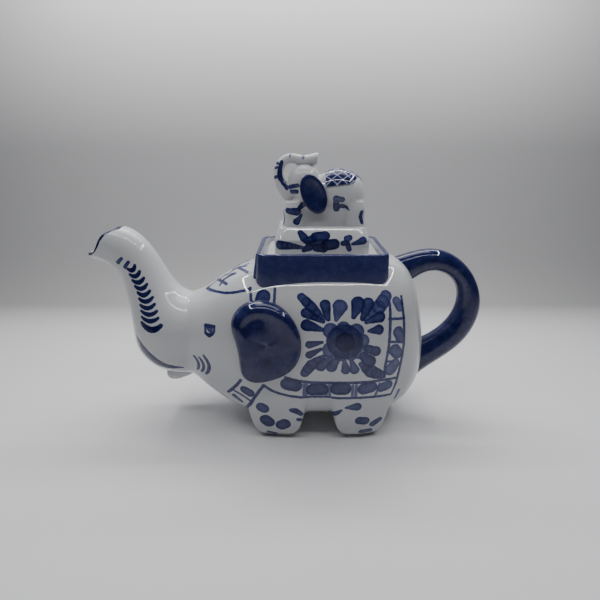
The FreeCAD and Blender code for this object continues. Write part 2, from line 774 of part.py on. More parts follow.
finial_right_ear = cut("finial_right_ear", finial_ear_form, [finial_body, finial_trunk_form])
finial_left_ear = mirrored("finial_left_ear", finial_right_ear)

saddle_skin = finial_form("saddle_skin", "torso", SADDLE_RISE)
SADDLE_FRONT = cell("saddle_front_x", 21.5)
SADDLE_LENGTH = cell("saddle_length", 21)
SADDLE_HEM = cell("saddle_hem_z", 149.5)
saddle_reach = box(
    "saddle_reach",
    SADDLE_FRONT,
    "-dims.torso_ry * 2",
    SADDLE_HEM,
    SADDLE_LENGTH,
    "dims.torso_ry * 4",
    "dims.torso_rz * 2",
)
finial_saddle = cut("finial_saddle_cloth", common("saddle_shell", saddle_skin, saddle_reach), [finial_body])

# ---------------------------------------------------------------- checks and export

NODES = {
    "pot_body": pot_body,
    "front_right_leg": legs[0],
    "front_left_leg": legs[1],
    "rear_right_leg": legs[2],
    "rear_left_leg": legs[3],
    "trunk_spout": trunk_spout,
    "spout_strainer": strainer,
    "lower_lip": lower_lip,
    "handle": handle,
    "right_ear": right_ear,
    "left_ear": left_ear,
    "howdah_collar": collar_on_back,
    "lid_plate": lid_plate,
    "lid_flange": lid_flange,
    "lid_plinth": lid_plinth,
    "finial_body": finial_body,
    "finial_trunk": finial_trunk,
    "finial_right_ear": finial_right_ear,
    "finial_left_ear": finial_left_ear,
    "finial_saddle_cloth": finial_saddle,
}


def check_and_export():
    """Stops on any failed object or shape, then writes each node's STEP file."""
    doc.recompute()
    failed = [o.Name for o in doc.Objects if {"Invalid", "Error"} & set(o.State)]
    if failed:
        raise RuntimeError(f"these objects failed: {failed}")
    os.makedirs(OUT, exist_ok=True)
    for node, thing in NODES.items():
        thing.Label = node
        shape = thing.Shape
        if shape.isNull() or not shape.isValid() or not shape.Solids:
            raise RuntimeError(f"{node} has no valid solid")
        shape.exportStep(f"{OUT}/{node}.step")
        size = shape.BoundBox
        print(
            f"{node:20s} {len(shape.Solids)} solid, {shape.Volume / 1000:7.2f} cm3, "
            f"X {size.XMin:7.1f} {size.XMax:6.1f}  Y {size.YMin:6.1f} {size.YMax:6.1f}  "
            f"Z {size.ZMin:6.1f} {size.ZMax:6.1f}"
        )


check_and_export()
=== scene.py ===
"""The finished surfaces of a blue and white elephant teapot, modelled and glazed round its fixed frame."""

from __future__ import annotations

import logging
import math
from dataclasses import dataclass
from enum import Enum
from typing import Callable, Iterable, Optional

import bmesh
import bpy
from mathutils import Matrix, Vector


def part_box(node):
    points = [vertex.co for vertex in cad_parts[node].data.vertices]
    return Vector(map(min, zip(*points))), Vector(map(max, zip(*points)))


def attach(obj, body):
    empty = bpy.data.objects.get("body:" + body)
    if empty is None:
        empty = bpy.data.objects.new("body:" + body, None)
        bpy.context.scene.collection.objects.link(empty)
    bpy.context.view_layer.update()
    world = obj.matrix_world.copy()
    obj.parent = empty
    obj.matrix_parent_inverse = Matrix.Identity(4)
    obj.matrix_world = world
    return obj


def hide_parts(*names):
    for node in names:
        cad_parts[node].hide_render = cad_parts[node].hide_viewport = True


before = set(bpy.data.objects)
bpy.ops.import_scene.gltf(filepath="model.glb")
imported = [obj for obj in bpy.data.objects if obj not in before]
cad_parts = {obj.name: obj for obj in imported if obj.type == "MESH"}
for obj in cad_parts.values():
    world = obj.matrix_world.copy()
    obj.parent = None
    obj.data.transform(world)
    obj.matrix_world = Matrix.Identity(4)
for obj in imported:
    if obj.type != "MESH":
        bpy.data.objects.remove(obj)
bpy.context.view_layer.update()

log = logging.getLogger("teapot")

MM = 0.001
POT, LID = "pot", "lid"
LID_X = 19.8  # the middle of the collar and of the lid along the pot, in millimetres
CRISP = 40  # edges that turn by more degrees than this stay crisp in the shading


def mm(x: float, y: float, z: float) -> Vector:
    """A place or a move given in millimetres, in metres."""
    return Vector((x, y, z)) * MM


# ---------------------------------------------------------------- the modeller's bench


class Select(Enum):
    """What a selection in edit mode is made of."""

    POINTS = "VERT"
    FACES = "FACE"


class Bench:
    """One piece on the modelling bench, shaped with Blender's own operators."""

    def __init__(self, name: str) -> None:
        """Takes the object that an operator has just added, and opens it in edit mode, all selected."""
        self.piece = bpy.context.object
        self.piece.name = name
        self.piece.data.name = name
        bpy.ops.object.transform_apply(location=True, rotation=True, scale=True)
        bpy.ops.object.mode_set(mode="EDIT")
        bpy.ops.mesh.select_all(action="SELECT")

    @staticmethod
    def clear() -> None:
        """Leaves edit mode and deselects everything, before a primitive is added."""
        if bpy.context.object and bpy.context.object.mode == "EDIT":
            bpy.ops.object.mode_set(mode="OBJECT")
        bpy.ops.object.select_all(action="DESELECT")

    def mesh(self) -> bmesh.types.BMesh:
        """The piece's mesh as it stands in edit mode."""
        return bmesh.from_edit_mesh(self.piece.data)

    def pick(self, kind: Select, wanted: Callable[[Vector, Vector], bool]) -> None:
        """Selects the points or faces that a test accepts.

        Args:
            kind: whether points or faces are picked.
            wanted: a test on an element's middle, in millimetres, and its normal.
        """
        bpy.ops.mesh.select_mode(type=kind.value)
        bpy.ops.mesh.select_all(action="DESELECT")
        shape = self.mesh()
        for item in shape.verts if kind is Select.POINTS else shape.faces:
            middle = item.co if kind is Select.POINTS else item.calc_center_median()
            item.select_set(wanted(middle / MM, item.normal))
        shape.select_flush_mode()
        bmesh.update_edit_mesh(self.piece.data)

    def move(self, x: float = 0, y: float = 0, z: float = 0) -> None:
        """Moves the selection by millimetres."""
        bpy.ops.transform.translate(value=mm(x, y, z))

    def scale(self, x: float, y: float, z: float, about: tuple[float, float, float]) -> None:
        """Scales the selection about a place in millimetres."""
        bpy.ops.transform.resize(value=(x, y, z), center_override=mm(*about))

    def turn(self, degrees: float, about: tuple[float, float, float], axis: str = "Y") -> None:
        """Turns the selection by the right-hand rule. With no window the operator turns the other way."""
        bpy.ops.transform.rotate(
            value=-math.radians(degrees), orient_axis=axis, center_override=mm(*about)
        )

    def draw(self, x: float = 0, y: float = 0, z: float = 0) -> None:
        """Extrudes the selected faces by millimetres."""
        bpy.ops.mesh.extrude_region_move(TRANSFORM_OT_translate={"value": mm(x, y, z)})

    def spread(self) -> tuple[Vector, Vector]:
        """The lowest and highest corner of the selected points, in millimetres."""
        chosen = [v.co / MM for v in self.mesh().verts if v.select]
        low = Vector([min(v[i] for v in chosen) for i in range(3)])
        high = Vector([max(v[i] for v in chosen) for i in range(3)])
        return low, high

    def fit(self, low: tuple[float, float, float], high: tuple[float, float, float]) -> None:
        """Flattens, stretches and moves the selection so that it fills a box in millimetres."""
        was_low, was_high = self.spread()
        middle = (was_low + was_high) / 2
        size = [max(b - a, 1e-6) for a, b in zip(was_low, was_high)]
        self.scale(*[(b - a) / s for a, b, s in zip(low, high, size)], about=tuple(middle))
        self.move(*((Vector(low) + Vector(high)) / 2 - middle))

    def round_uprights(self, radius: float, segments: int) -> None:
        """Rounds the edges that stand upright to a radius in millimetres."""
        bpy.ops.mesh.select_mode(type="EDGE")
        bpy.ops.mesh.select_all(action="DESELECT")
        for edge in self.mesh().edges:
            rise = edge.verts[0].co - edge.verts[1].co
            edge.select_set(abs(rise.z) > 0.9 * rise.length)
        bmesh.update_edit_mesh(self.piece.data)
        bpy.ops.mesh.bevel(offset=radius * MM, segments=segments)

    def finish(self) -> bpy.types.Object:
        """Closes edit mode with every face pointing outwards, shaded smooth."""
        bpy.ops.mesh.select_all(action="SELECT")
        bpy.ops.mesh.remove_doubles(threshold=0.00001)
        bpy.ops.mesh.normals_make_consistent(inside=False)
        bpy.ops.object.mode_set(mode="OBJECT")
        bpy.ops.object.shade_smooth()
        return self.piece


def apply(piece: bpy.types.Object, kind: str, **settings: object) -> None:
    """Adds a modifier with its settings and applies it.

    Args:
        piece: the object, out of edit mode.
        kind: the modifier's type, such as "SUBSURF".
        settings: its properties by name.
    """
    Bench.clear()
    piece.select_set(True)
    bpy.context.view_layer.objects.active = piece
    modifier = piece.modifiers.new(kind.title(), kind)
    for name, value in settings.items():
        setattr(modifier, name, value)
    bpy.ops.object.modifier_apply(modifier=modifier.name)


def soften_edges(piece: bpy.types.Object, radius: float, segments: int, sharpest: float) -> None:
    """Rounds the edges that turn by more than an angle in degrees, and shades between them smooth."""
    apply(
        piece, "BEVEL", width=radius * MM, segments=segments, limit_method="ANGLE",
        angle_limit=math.radians(sharpest),
    )
    bpy.ops.object.shade_smooth_by_angle(angle=math.radians(CRISP))


def smooth_out(piece: bpy.types.Object, levels: int) -> None:
    """Subdivides a piece into a smooth surface and shades it smooth."""
    apply(piece, "SUBSURF", levels=levels, render_levels=levels)
    bpy.ops.object.shade_smooth()


@dataclass(frozen=True)
class Section:
    """One ring of a drawn form, in millimetres.

    Attributes:
        low: x and z of the ring's lowest or inmost point.
        high: x and z of its highest or outmost point.
        half_width: half its width across the pot.
        fullness: how far its corners swell past an ellipse, as a factor.
        trail: how far its flanks trail behind its low and high points, towards the handle.
    """

    low: tuple[float, float]
    high: tuple[float, float]
    half_width: float
    fullness: float = 1.0
    trail: float = 0.0

    @property
    def middle(self) -> tuple[float, float, float]:
        """The ring's middle, as x, y and z."""
        return (self.low[0] + self.high[0]) / 2, 0.0, (self.low[1] + self.high[1]) / 2

    @property
    def half_height(self) -> float:
        """Half the distance from its low to its high point."""
        return math.dist(self.low, self.high) / 2

    @property
    def tilt(self) -> float:
        """How far it leans from upright towards the handle, in degrees."""
        return math.degrees(math.atan2(self.high[0] - self.low[0], self.high[1] - self.low[1]))


class DrawnForm(Bench):
    """Clay drawn out ring by ring from a circle, as a tube that follows its sections."""

    def __init__(self, name: str, sections: Iterable[Section], points: int = 20) -> None:
        """Draws the whole tube and leaves its last ring selected.

        Args:
            name: the piece's name.
            sections: its rings, in order.
            points: how many points a ring has.
        """
        self.clear()
        bpy.ops.mesh.primitive_circle_add(
            vertices=points, radius=MM, rotation=(0, math.radians(90), 0)
        )
        super().__init__(name)
        self.points = points
        self.swell = 3 / (2 + math.cos(2 * math.pi / points))  # makes up for what smoothing draws in
        self.at = Section((0, -1), (0, 1), 1)
        first, *rest = sections
        self._shape(first, self.swell)
        for section in rest:
            bpy.ops.mesh.extrude_edges_move()
            self._shape(section)

    def close_start(self) -> None:
        """Fills the first ring, which keeps the numbers it was made with."""
        bpy.ops.mesh.select_all(action="DESELECT")
        shape = self.mesh()
        shape.verts.ensure_lookup_table()
        for point in shape.verts[: self.points]:
            point.select_set(True)
        shape.select_flush(True)
        bmesh.update_edit_mesh(self.piece.data)
        bpy.ops.mesh.fill_grid()

    def _shape(self, to: Section, swell: float = 1.0) -> None:
        """Brings the selected ring from the section it has to the one it should have.

        Args:
            to: the section it should have.
            swell: how much larger than its section the ring is made.
        """
        self.turn(-self.at.tilt, self.at.middle)
        height = swell * to.half_height / self.at.half_height
        width = swell * to.half_width / self.at.half_width
        self.scale(1, width, height, self.at.middle)
        self.move(*(Vector(to.middle) - Vector(self.at.middle)))
        self._fill_out(to)
        self.turn(to.tilt, to.middle)
        self.at = to

    def _fill_out(self, to: Section) -> None:
        """Swells the upright ring's corners and trails its flanks."""
        for point in (v for v in self.mesh().verts if v.select):
            across = point.co.y / (to.half_width * MM)
            up = (point.co.z / MM - to.middle[2]) / to.half_height
            reach = across**2 + up**2
            corner = (2 * across * up / reach) ** 2
            grow = (1 + (to.fullness - 1) * corner) / (1 + (self.at.fullness - 1) * corner)
            point.co.y *= grow
            point.co.z = MM * to.middle[2] + (point.co.z - MM * to.middle[2]) * grow
            point.co.x += (to.trail - self.at.trail) * MM * across**2 / reach
        bmesh.update_edit_mesh(self.piece.data)


# ---------------------------------------------------------------- the painter's strokes


@dataclass(frozen=True)
class Stroke:
    """One touch of the brush, drawn on an upright canvas along the pot and laid onto its near flank.

    Attributes:
        load: how much cobalt it lays down.
        path: its places, each as x, z and half the width of the touch, in millimetres.
        around: whether it runs right round the piece, as on the mouth's edge.
    """

    load: float
    path: tuple[tuple[float, float, float], ...]
    around: bool = False


def strokes(*rows: tuple) -> tuple[Stroke, ...]:
    """Strokes from rows that each give a load and then the places."""
    return tuple(Stroke(load, tuple(path)) for load, *path in rows)


def bow(
    load: float, start: tuple[float, float], end: tuple[float, float], sag: float, width: float
) -> Stroke:
    """A stroke that bows out to the right of its run and is thickest in its middle.

    Args:
        load: how much cobalt it lays down.
        start: x and z where it starts.
        end: x and z where it ends.
        sag: how far its middle lies off the straight line.
        width: half its width in the middle.

    Returns:
        The stroke.
    """
    run = (end[0] - start[0], end[1] - start[1])
    length = math.hypot(*run)
    path = []
    for t in (0, 0.2, 0.5, 0.8, 1):
        out = 4 * t * (1 - t)
        x = start[0] + run[0] * t + sag * out * run[1] / length
        z = start[1] + run[1] * t - sag * out * run[0] / length
        path.append((x, z, width * (0.62 + 0.38 * out)))
    return Stroke(load, tuple(path))


FLOWER_HEART = strokes(
    (1.26, (31.5, 69, 9.8), (32.5, 68, 9.8)),
    *(
        (1.05, lobe, (32, 68.5, 5.4))
        for lobe in (
            (24, 75, 4.3), (31, 76, 4.1), (38, 74.5, 4.4), (41.5, 69, 4.1),
            (40.5, 63, 4.7), (24.5, 64, 4.9), (30, 61.5, 4.4), (35.5, 61.5, 4.1),
        )
    ),
)
PETALS = strokes(
    (1.42, (8, 92.5, 2.2), (13.5, 87.5, 2.9), (20, 81.5, 1.1)),
    (1.58, (10.5, 84.5, 2.8), (20, 80, 1.1)),
    (1.58, (11, 78, 3.3), (19.5, 75.5, 1.1)),
    (1.68, (12.5, 67, 2.2), (19.5, 68.5, 0.8)),
    (1.68, (12.5, 61, 2.2), (19, 64.5, 0.9)),
    (1.36, (10, 49.5, 2.5), (14, 55, 3.2), (21, 60.5, 1.1)),
    (1.36, (19, 54, 3.2), (24, 58.5, 1.7)),
    (1.36, (25, 53.5, 3.2), (28, 58.5, 1.7)),
    (1.26, (33, 51.5, 2.7), (32, 57, 1.1)),
    (1.26, (38, 51.5, 2.7), (36, 57, 1.1)),
    (1.58, (49.5, 62.5, 2.9), (44.5, 64.5, 2.2)),
    (1.47, (46, 56.5, 3.9), (42.5, 60, 2.5)),
    (1.36, (53.5, 47, 2.7), (47.5, 50, 3.9), (41.5, 55, 1.5)),
    (1.58, (50.5, 75, 2.9), (45, 74.5, 0.8)),
    (1.47, (51, 82, 3.1), (43.5, 79.5, 1.1)),
    (1.05, (54.5, 92.5, 3.3), (50.5, 87, 3.9), (42.5, 81, 1.2)),
    (1.58, (44.5, 89, 3.4), (41.5, 81.5, 1.5)),
    (1.58, (39, 89, 4.1), (36.5, 82.5, 1.4)),
    (1.16, (29, 87.5, 4.2), (27, 81, 1.1)),
    (1.58, (21, 88.5, 3), (22.5, 81.5, 1.4)),
)
LINES = strokes(
    (
        1.35,
        (56.5, 89, 0.7), (57, 81, 0.8), (57, 68.5, 0.8), (56.5, 61.5, 0.7), (55.5, 52, 0.8),
        (55.5, 45.5, 0.8),
    ),
    (
        1.44,
        (63.5, 91.5, 0.7), (64.5, 84, 0.8), (65.5, 75.5, 0.8), (66, 64, 0.8), (65, 53.5, 0.8),
        (64, 45.5, 0.8), (63, 39, 0.8), (61, 32.5, 0.7),
    ),
    (1.26, (56.5, 80.5, 0.7), (65.5, 79.5, 0.7)),
    (1.26, (57, 67.5, 0.7), (65.5, 66, 0.8)),
    (1.26, (56, 55.5, 0.7), (60, 55, 0.5)),
    (
        1.44,
        (-1, 46.5, 0.8), (7.5, 44, 0.9), (18.5, 43, 0.9), (33, 43, 0.9), (44.5, 43, 0.9), (53, 43.5, 0.8),
        (62.5, 43.5, 0.8),
    ),
    (
        1.44,
        (-13.5, 40.5, 0.8), (-8.5, 37, 0.8), (-1.5, 34.5, 0.8), (7.5, 33, 0.8), (19, 32.5, 0.8),
        (33.5, 32.5, 0.8), (45, 32.5, 0.8), (54, 32.5, 0.8), (61, 32.5, 0.7),
    ),
    (1.05, (9.5, 42, 0.7), (9.5, 34, 0.7)),
    (1.05, (11, 42, 0.7), (11, 34, 0.7)),
    (0.94, (22, 41, 0.9), (22.5, 34, 0.8)),
    (0.94, (24, 41, 0.9), (24.5, 34, 0.8)),
    (0.94, (37.5, 41, 0.8), (37.5, 34, 0.8)),
    (0.94, (39.5, 41, 0.8), (39.5, 34, 0.8)),
    (0.94, (51, 33, 0.7), (53, 41.5, 0.7)),
    # painted shade: a dark line along the belly's lower edge between the legs, where the belly turns under
    (1.58, (10, 15, 0.7), (19.5, 15, 0.7), (28.5, 13.5, 0.7)),
    (1.36, (-20.5, 95.5, 0.8), (-20, 92, 0.8), (-19.5, 87, 0.7)),
    (1.36, (-6.5, 96, 0.7), (-7, 86, 0.7)),
    (1.58, (-27, 42.5, 0.9), (-30.5, 37.5, 0.9), (-35.5, 31.5, 0.9)),
    (1.58, (-13.5, 40.5, 0.9), (-18.5, 33, 0.9), (-25, 20.5, 1.1)),
    (1.26, (-32.5, 34.5, 0.8), (-27, 31.5, 0.8), (-21, 28.5, 0.8)),
    (
        1.35,
        (-49, 89, 1.3), (-46, 91, 0.9), (-41, 95, 0.9), (-35.5, 98, 0.9), (-30.5, 101, 0.8),
        (-24.5, 103, 0.8),
    ),
    (1.58, (-48.5, 89, 1.1), (-41.5, 90.5, 0.8), (-34, 91.5, 0.8), (-27.5, 93, 0.8), (-20.5, 95, 0.8)),
)
DOTS = strokes(
    (0.94, (60.5, 89.5, 2.5), (62.5, 86, 2.5)),
    (1.16, (62, 72.5, 3.2), (63.5, 69, 3)),
    (1.16, (60.5, 62, 3.6), (62.5, 59.5, 3.4)),
    (1.05, (59, 50, 3.9), (61, 53, 3.4)),
    (1.47, (0, 42, 4), (4.5, 41, 4)),
    (1.47, (15, 38, 4.4), (19.5, 38, 4.4)),
    (1.47, (28.5, 39, 4.2), (32.5, 39, 4.2)),
    (1.26, (44, 38.5, 3.8), (48, 39.5, 3.8)),
    (1.16, (54.5, 38.5, 3.1), (58, 39.5, 3.2)),
    (1.36, (-15.5, 25, 3.2), (-14, 24, 3.2)),
    (1.58, (-13, 15.5, 3.8), (-11.5, 14, 3.8)),
    (1.47, (-3.5, 12, 3.8), (-2, 13, 3.8)),
    (1.47, (-11.5, 5, 1.6), (-8, 4, 1.6)),
    (1.36, (43, 15.5, 2.9), (46, 15, 2.9)),
    (1.26, (51, 12, 2), (55, 15, 1.7)),
    (1.36, (45, 6, 2.2), (49.5, 6.5, 2)),
    (1.47, (-13, 92, 4.1), (-13.5, 90.5, 4.1)),
    (1.47, (-25, 36, 2.8), (-22, 34.5, 2.8)),
    (1.36, (-32, 29.5, 1.5), (-28, 25.5, 1.4)),
)
BELLY_LEAVES = strokes(
    (1.36, (2.5, 23.5, 1.5), (5, 23, 1.9), (8.5, 20, 1.1)),
    (1.58, (6.5, 16.5, 1.2), (10, 15, 0.9)),
    (1.36, (25.5, 17.5, 1.1), (28.5, 21, 1.5), (31.5, 23.5, 0.8)),
    (1.36, (40.5, 26, 2.9), (34.5, 25.5, 0.9)),
    (1.16, (64, 20, 1.6)),
    (1.05, (64.5, 27, 1.1), (66, 33, 1.1)),
)
SPRIGS = strokes(
    (1.68, (-43, 93.5, 0.9), (-35, 95, 0.9)),
    (1.68, (-37.5, 96, 1.1), (-39.5, 93.5, 0.9)),
    (1.58, (-36.5, 96.5, 1.2), (-33.5, 98.5, 1.8), (-31, 99.5, 1.2)),
    (1.47, (-33.5, 99.5, 0.9), (-24, 103.5, 0.9)),
    (1.47, (-28.5, 101.5, 0.9), (-23, 101.5, 0.9)),
)
EYE = strokes(
    (1.58, (-47, 73, 1.1), (-41.5, 73.5, 0.9)),
    (1.26, (-47, 72.5, 0.9), (-47, 70, 0.9)),
    (1.26, (-41.5, 73.5, 0.8), (-41.5, 71, 0.8)),
    (1.26, (-44.5, 72, 1.7), (-44, 71.5, 1.7)),
    (1.58, (-47, 69, 0.9), (-44.5, 68, 1.2), (-42, 70, 0.9)),
)
CHEEK = (
    bow(1.5, (-54.6, 43), (-55.6, 52.5), 2.2, 1.1),
    bow(1.5, (-51.8, 42.5), (-52, 52.5), 2.4, 1.1),
    bow(1.5, (-48.8, 42), (-49, 54.5), 3, 1.25),
)
TRUNK_BARS = (
    *strokes(
        (1.6, (-99, 106, 1.1), (-96.5, 108.5, 0.9)),
        (1.6, (-95, 103.5, 1.1), (-92.5, 106.5, 0.9)),
    ),
    *(
        bow(1.75, (x0, z0), (x1, z1), 1.9, 1.3)
        for x0, z0, x1, z1 in (
            (-93.4, 102.4, -89, 104.6), (-92.4, 99.2, -86.4, 101), (-91, 95.8, -84.2, 97.2),
            (-89.6, 92.4, -82.6, 93.6), (-88.2, 88.8, -81, 89.8), (-87.4, 85.2, -79.4, 86.2),
            (-86.8, 81.6, -78.2, 82.4), (-86.4, 78.2, -76.8, 78.6), (-86.2, 74.6, -76, 74.8),
        )
    ),
    bow(1.9, (-86.4, 71), (-74.4, 70.6), 3, 1.9),
)
TRUNK_KEEL = strokes(
    (
        1.71,
        (-91.5, 60.5, 1), (-87.5, 53, 3.4), (-82, 46.4, 4.2), (-75, 42.6, 2.8), (-65, 41.6, 0.8),
    ),
)
PLINTH_LEAVES = strokes(
    (1.58, (-4, 118, 2.6), (1.5, 117.5, 2), (9.5, 116.5, 0.7)),
    (1.47, (42.5, 120.5, 2.2), (36.5, 118.5, 0.7)),
)
PLINTH_PETALS = strokes(
    (1.89, (7.5, 124.5, 1.6), (9.5, 122, 2.3)),
    (1.89, (16, 122.5, 2.6), (21.5, 123, 2.6)),
    (1.89, (10.5, 120.5, 1.7), (14.5, 121.5, 2.2)),
    (2, (22, 118, 3.1), (26.5, 118.5, 2.9)),
    (2, (16.5, 116.5, 2.3), (20.5, 116, 2.3)),
    (1.89, (9.5, 115, 1.2), (12.5, 117, 2.3)),
    (1.68, (12, 119, 1.6), (19.5, 119, 2.2)),
)
PLINTH_DOTS = strokes(
    (1.58, (33.5, 121.5, 1.7), (35, 122, 1.6)),
    (1.68, (31.5, 119, 1.5), (33.5, 119.5, 1.5)),
    (1.68, (34, 118, 1.4), (35, 115.5, 1.3)),
)
SMALL_MOUTH = strokes(
    (1.78, (1.5, 148.5, 1.2), (6, 149.5, 1.1)),
    (1.78, (2.5, 146, 1.1), (5.5, 146, 1.1)),
)
SMALL_LINES = strokes(
    (1.47, (-2, 135, 0.8), (-2, 128.5, 0.8)),
    (1.47, (42, 135, 1.2), (41.5, 132.5, 1.2), (42.5, 129.5, 1.1)),
)
SMALL_PETALS = strokes(
    (1.68, (0.5, 136, 1.5), (5.5, 135.5, 2.2)),
    (1.68, (9, 139, 1.5), (7, 137.5, 1.6)),
    (1.68, (8, 133, 1.3), (5.5, 130, 1.9)),
    (1.36, (27.5, 142.5, 1.8), (31, 142, 1.5)),
    (1.58, (27.5, 140.5, 1.6), (28, 137, 1.9)),
)
SMALL_LEAF = strokes(
    (1.58, (30.5, 138.5, 1.4), (36, 135.5, 0.9)),
)
SMALL_STRIPE = strokes(
    (1.78, (-3, 162, 0.9), (-4, 157.5, 1.3), (-3.5, 153, 1.4), (0, 148, 1.3)),
)
SMALL_TICKS = strokes(
    (1.47, (-6, 161.5, 0.8), (-5, 161, 0.7)),
    (1.47, (-7, 158.5, 0.8), (-5.5, 159, 0.7)),
    (1.47, (-7.5, 153, 0.8), (-5.5, 154, 0.8)),
    (0.74, (1.5, 166.5, 0.5), (2, 166, 0.5)),
    (0.84, (9.5, 165.5, 0.7), (9, 164, 0.7)),
)

MOUTH_EDGE = (
    Stroke(
        1.98,
        (
            (-121, 107.8, 1.3), (-117.4, 110.4, 1.2), (-113.4, 112.4, 1.2), (-110.6, 115.6, 1.2),
            (-108.4, 119.6, 1.2), (-105.4, 123, 1.2), (-102, 125, 1.3), (-98.8, 125.4, 1.2),
        ),
        around=True,
    ),
)
BODY_PAINTING = (
    FLOWER_HEART + PETALS + LINES + DOTS + BELLY_LEAVES + SPRIGS + EYE + CHEEK + TRUNK_BARS + TRUNK_KEEL
    + MOUTH_EDGE
)
PLINTH_PAINTING = PLINTH_LEAVES + PLINTH_PETALS + PLINTH_DOTS
SMALL_BODY_PAINTING = SMALL_MOUTH + SMALL_LINES + SMALL_PETALS + SMALL_LEAF
SMALL_TRUNK_PAINTING = SMALL_STRIPE + SMALL_TICKS


# ---------------------------------------------------------------- shader nodes

Source = object  # a socket, or a value for one


class Web:
    """A node tree being woven: each method adds one node and returns what it puts out."""

    def __init__(self, tree: bpy.types.NodeTree) -> None:
        """Works on a material's tree or on a group's."""
        self.tree = tree

    def node(self, kind: str, **settings: object) -> bpy.types.Node:
        """Adds a node with its settings."""
        made = self.tree.nodes.new(kind)
        for name, value in settings.items():
            setattr(made, name, value)
        return made

    def feed(self, socket: bpy.types.NodeSocket, source: Source) -> None:
        """Links a socket to a source, or sets its value."""
        if isinstance(source, bpy.types.NodeSocket):
            self.tree.links.new(source, socket)
        else:
            socket.default_value = source

    def math(self, operation: str, *sources: Source, clamp: bool = False) -> bpy.types.NodeSocket:
        """A number from up to three numbers, held between 0 and 1 where clamp is set."""
        node = self.node("ShaderNodeMath", operation=operation)
        for socket, source in zip(node.inputs, sources):
            self.feed(socket, source)
        if not clamp:
            return node.outputs[0]
        held = self.node("ShaderNodeClamp")
        self.feed(held.inputs["Value"], node.outputs[0])
        return held.outputs[0]

    def vector(self, operation: str, *sources: Source, scale: Source = None) -> bpy.types.NodeSocket:
        """A vector, or the number that the operation gives, from vectors."""
        made = self.node("ShaderNodeVectorMath", operation=operation)
        for socket, source in zip(made.inputs, sources):
            self.feed(socket, source)
        if scale is not None:
            self.feed(made.inputs["Scale"], scale)
        number = operation in ("DOT_PRODUCT", "DISTANCE", "LENGTH")
        return made.outputs["Value" if number else "Vector"]

    def noise(
        self, place: Source, scale: float, detail: float = 2, distortion: float = 0
    ) -> bpy.types.NodeSocket:
        """A noise's value; the scale is in features per millimetre of place."""
        made = self.node("ShaderNodeTexNoise")
        self.feed(made.inputs["Vector"], place)
        for name, value in {"Scale": scale, "Detail": detail, "Distortion": distortion}.items():
            made.inputs[name].default_value = value
        return made.outputs["Fac"]

    def split(self, source: Source) -> tuple[bpy.types.NodeSocket, ...]:
        """The three parts of a vector."""
        made = self.node("ShaderNodeSeparateXYZ")
        self.feed(made.inputs[0], source)
        return tuple(made.outputs)

    def join(self, *parts: Source) -> bpy.types.NodeSocket:
        """A vector from its three parts."""
        made = self.node("ShaderNodeCombineXYZ")
        for socket, part in zip(made.inputs, parts):
            self.feed(socket, part)
        return made.outputs[0]

    def use(self, group: bpy.types.NodeTree, **sources: Source) -> bpy.types.NodeOutputs:
        """Places a group, fed by name; an underscore in a name stands for a space."""
        made = self.node("ShaderNodeGroup", node_tree=group)
        for name, source in sources.items():
            self.feed(made.inputs[name.replace("_", " ")], source)
        return made.outputs


def new_group(
    name: str, takes: dict[str, str], gives: dict[str, str]
) -> tuple[Web, bpy.types.NodeOutputs, bpy.types.NodeInputs]:
    """A new shader node group.

    Args:
        name: the group's name.
        takes: its inputs, each a name and a kind such as "Float", "Vector" or "Color".
        gives: its outputs, in the same way.

    Returns:
        Its web, what comes into it, and the sockets that it gives out through.
    """
    tree = bpy.data.node_groups.new(name, "ShaderNodeTree")
    for sockets, side in ((takes, "INPUT"), (gives, "OUTPUT")):
        for label, kind in sockets.items():
            tree.interface.new_socket(label, in_out=side, socket_type=f"NodeSocket{kind}")
    web = Web(tree)
    return web, web.node("NodeGroupInput").outputs, web.node("NodeGroupOutput").inputs


def near_flank_group() -> bpy.types.NodeTree:
    """The place on the piece in millimetres, with the far flank folded onto the near one."""
    web, takes, gives = new_group("near flank", {"Wobble": "Float"}, {"Place": "Vector", "Folded": "Vector"})
    coordinates = web.node("ShaderNodeTexCoord").outputs["Object"]
    place = web.vector("SCALE", coordinates, scale=1 / MM)
    x, y, z = web.split(place)
    folded = web.join(x, web.math("MULTIPLY", web.math("ABSOLUTE", y), -1.0), z)
    shake = web.node("ShaderNodeTexNoise")
    web.feed(shake.inputs["Vector"], place)
    shake.inputs["Scale"].default_value = 0.45
    shake.inputs["Detail"].default_value = 2
    centred = web.vector("SUBTRACT", shake.outputs["Color"], (0.5, 0.5, 0.5))
    moved = web.vector("ADD", folded, web.vector("SCALE", centred, scale=takes["Wobble"]))
    web.feed(gives["Place"], place)
    web.feed(gives["Folded"], moved)
    return web.tree


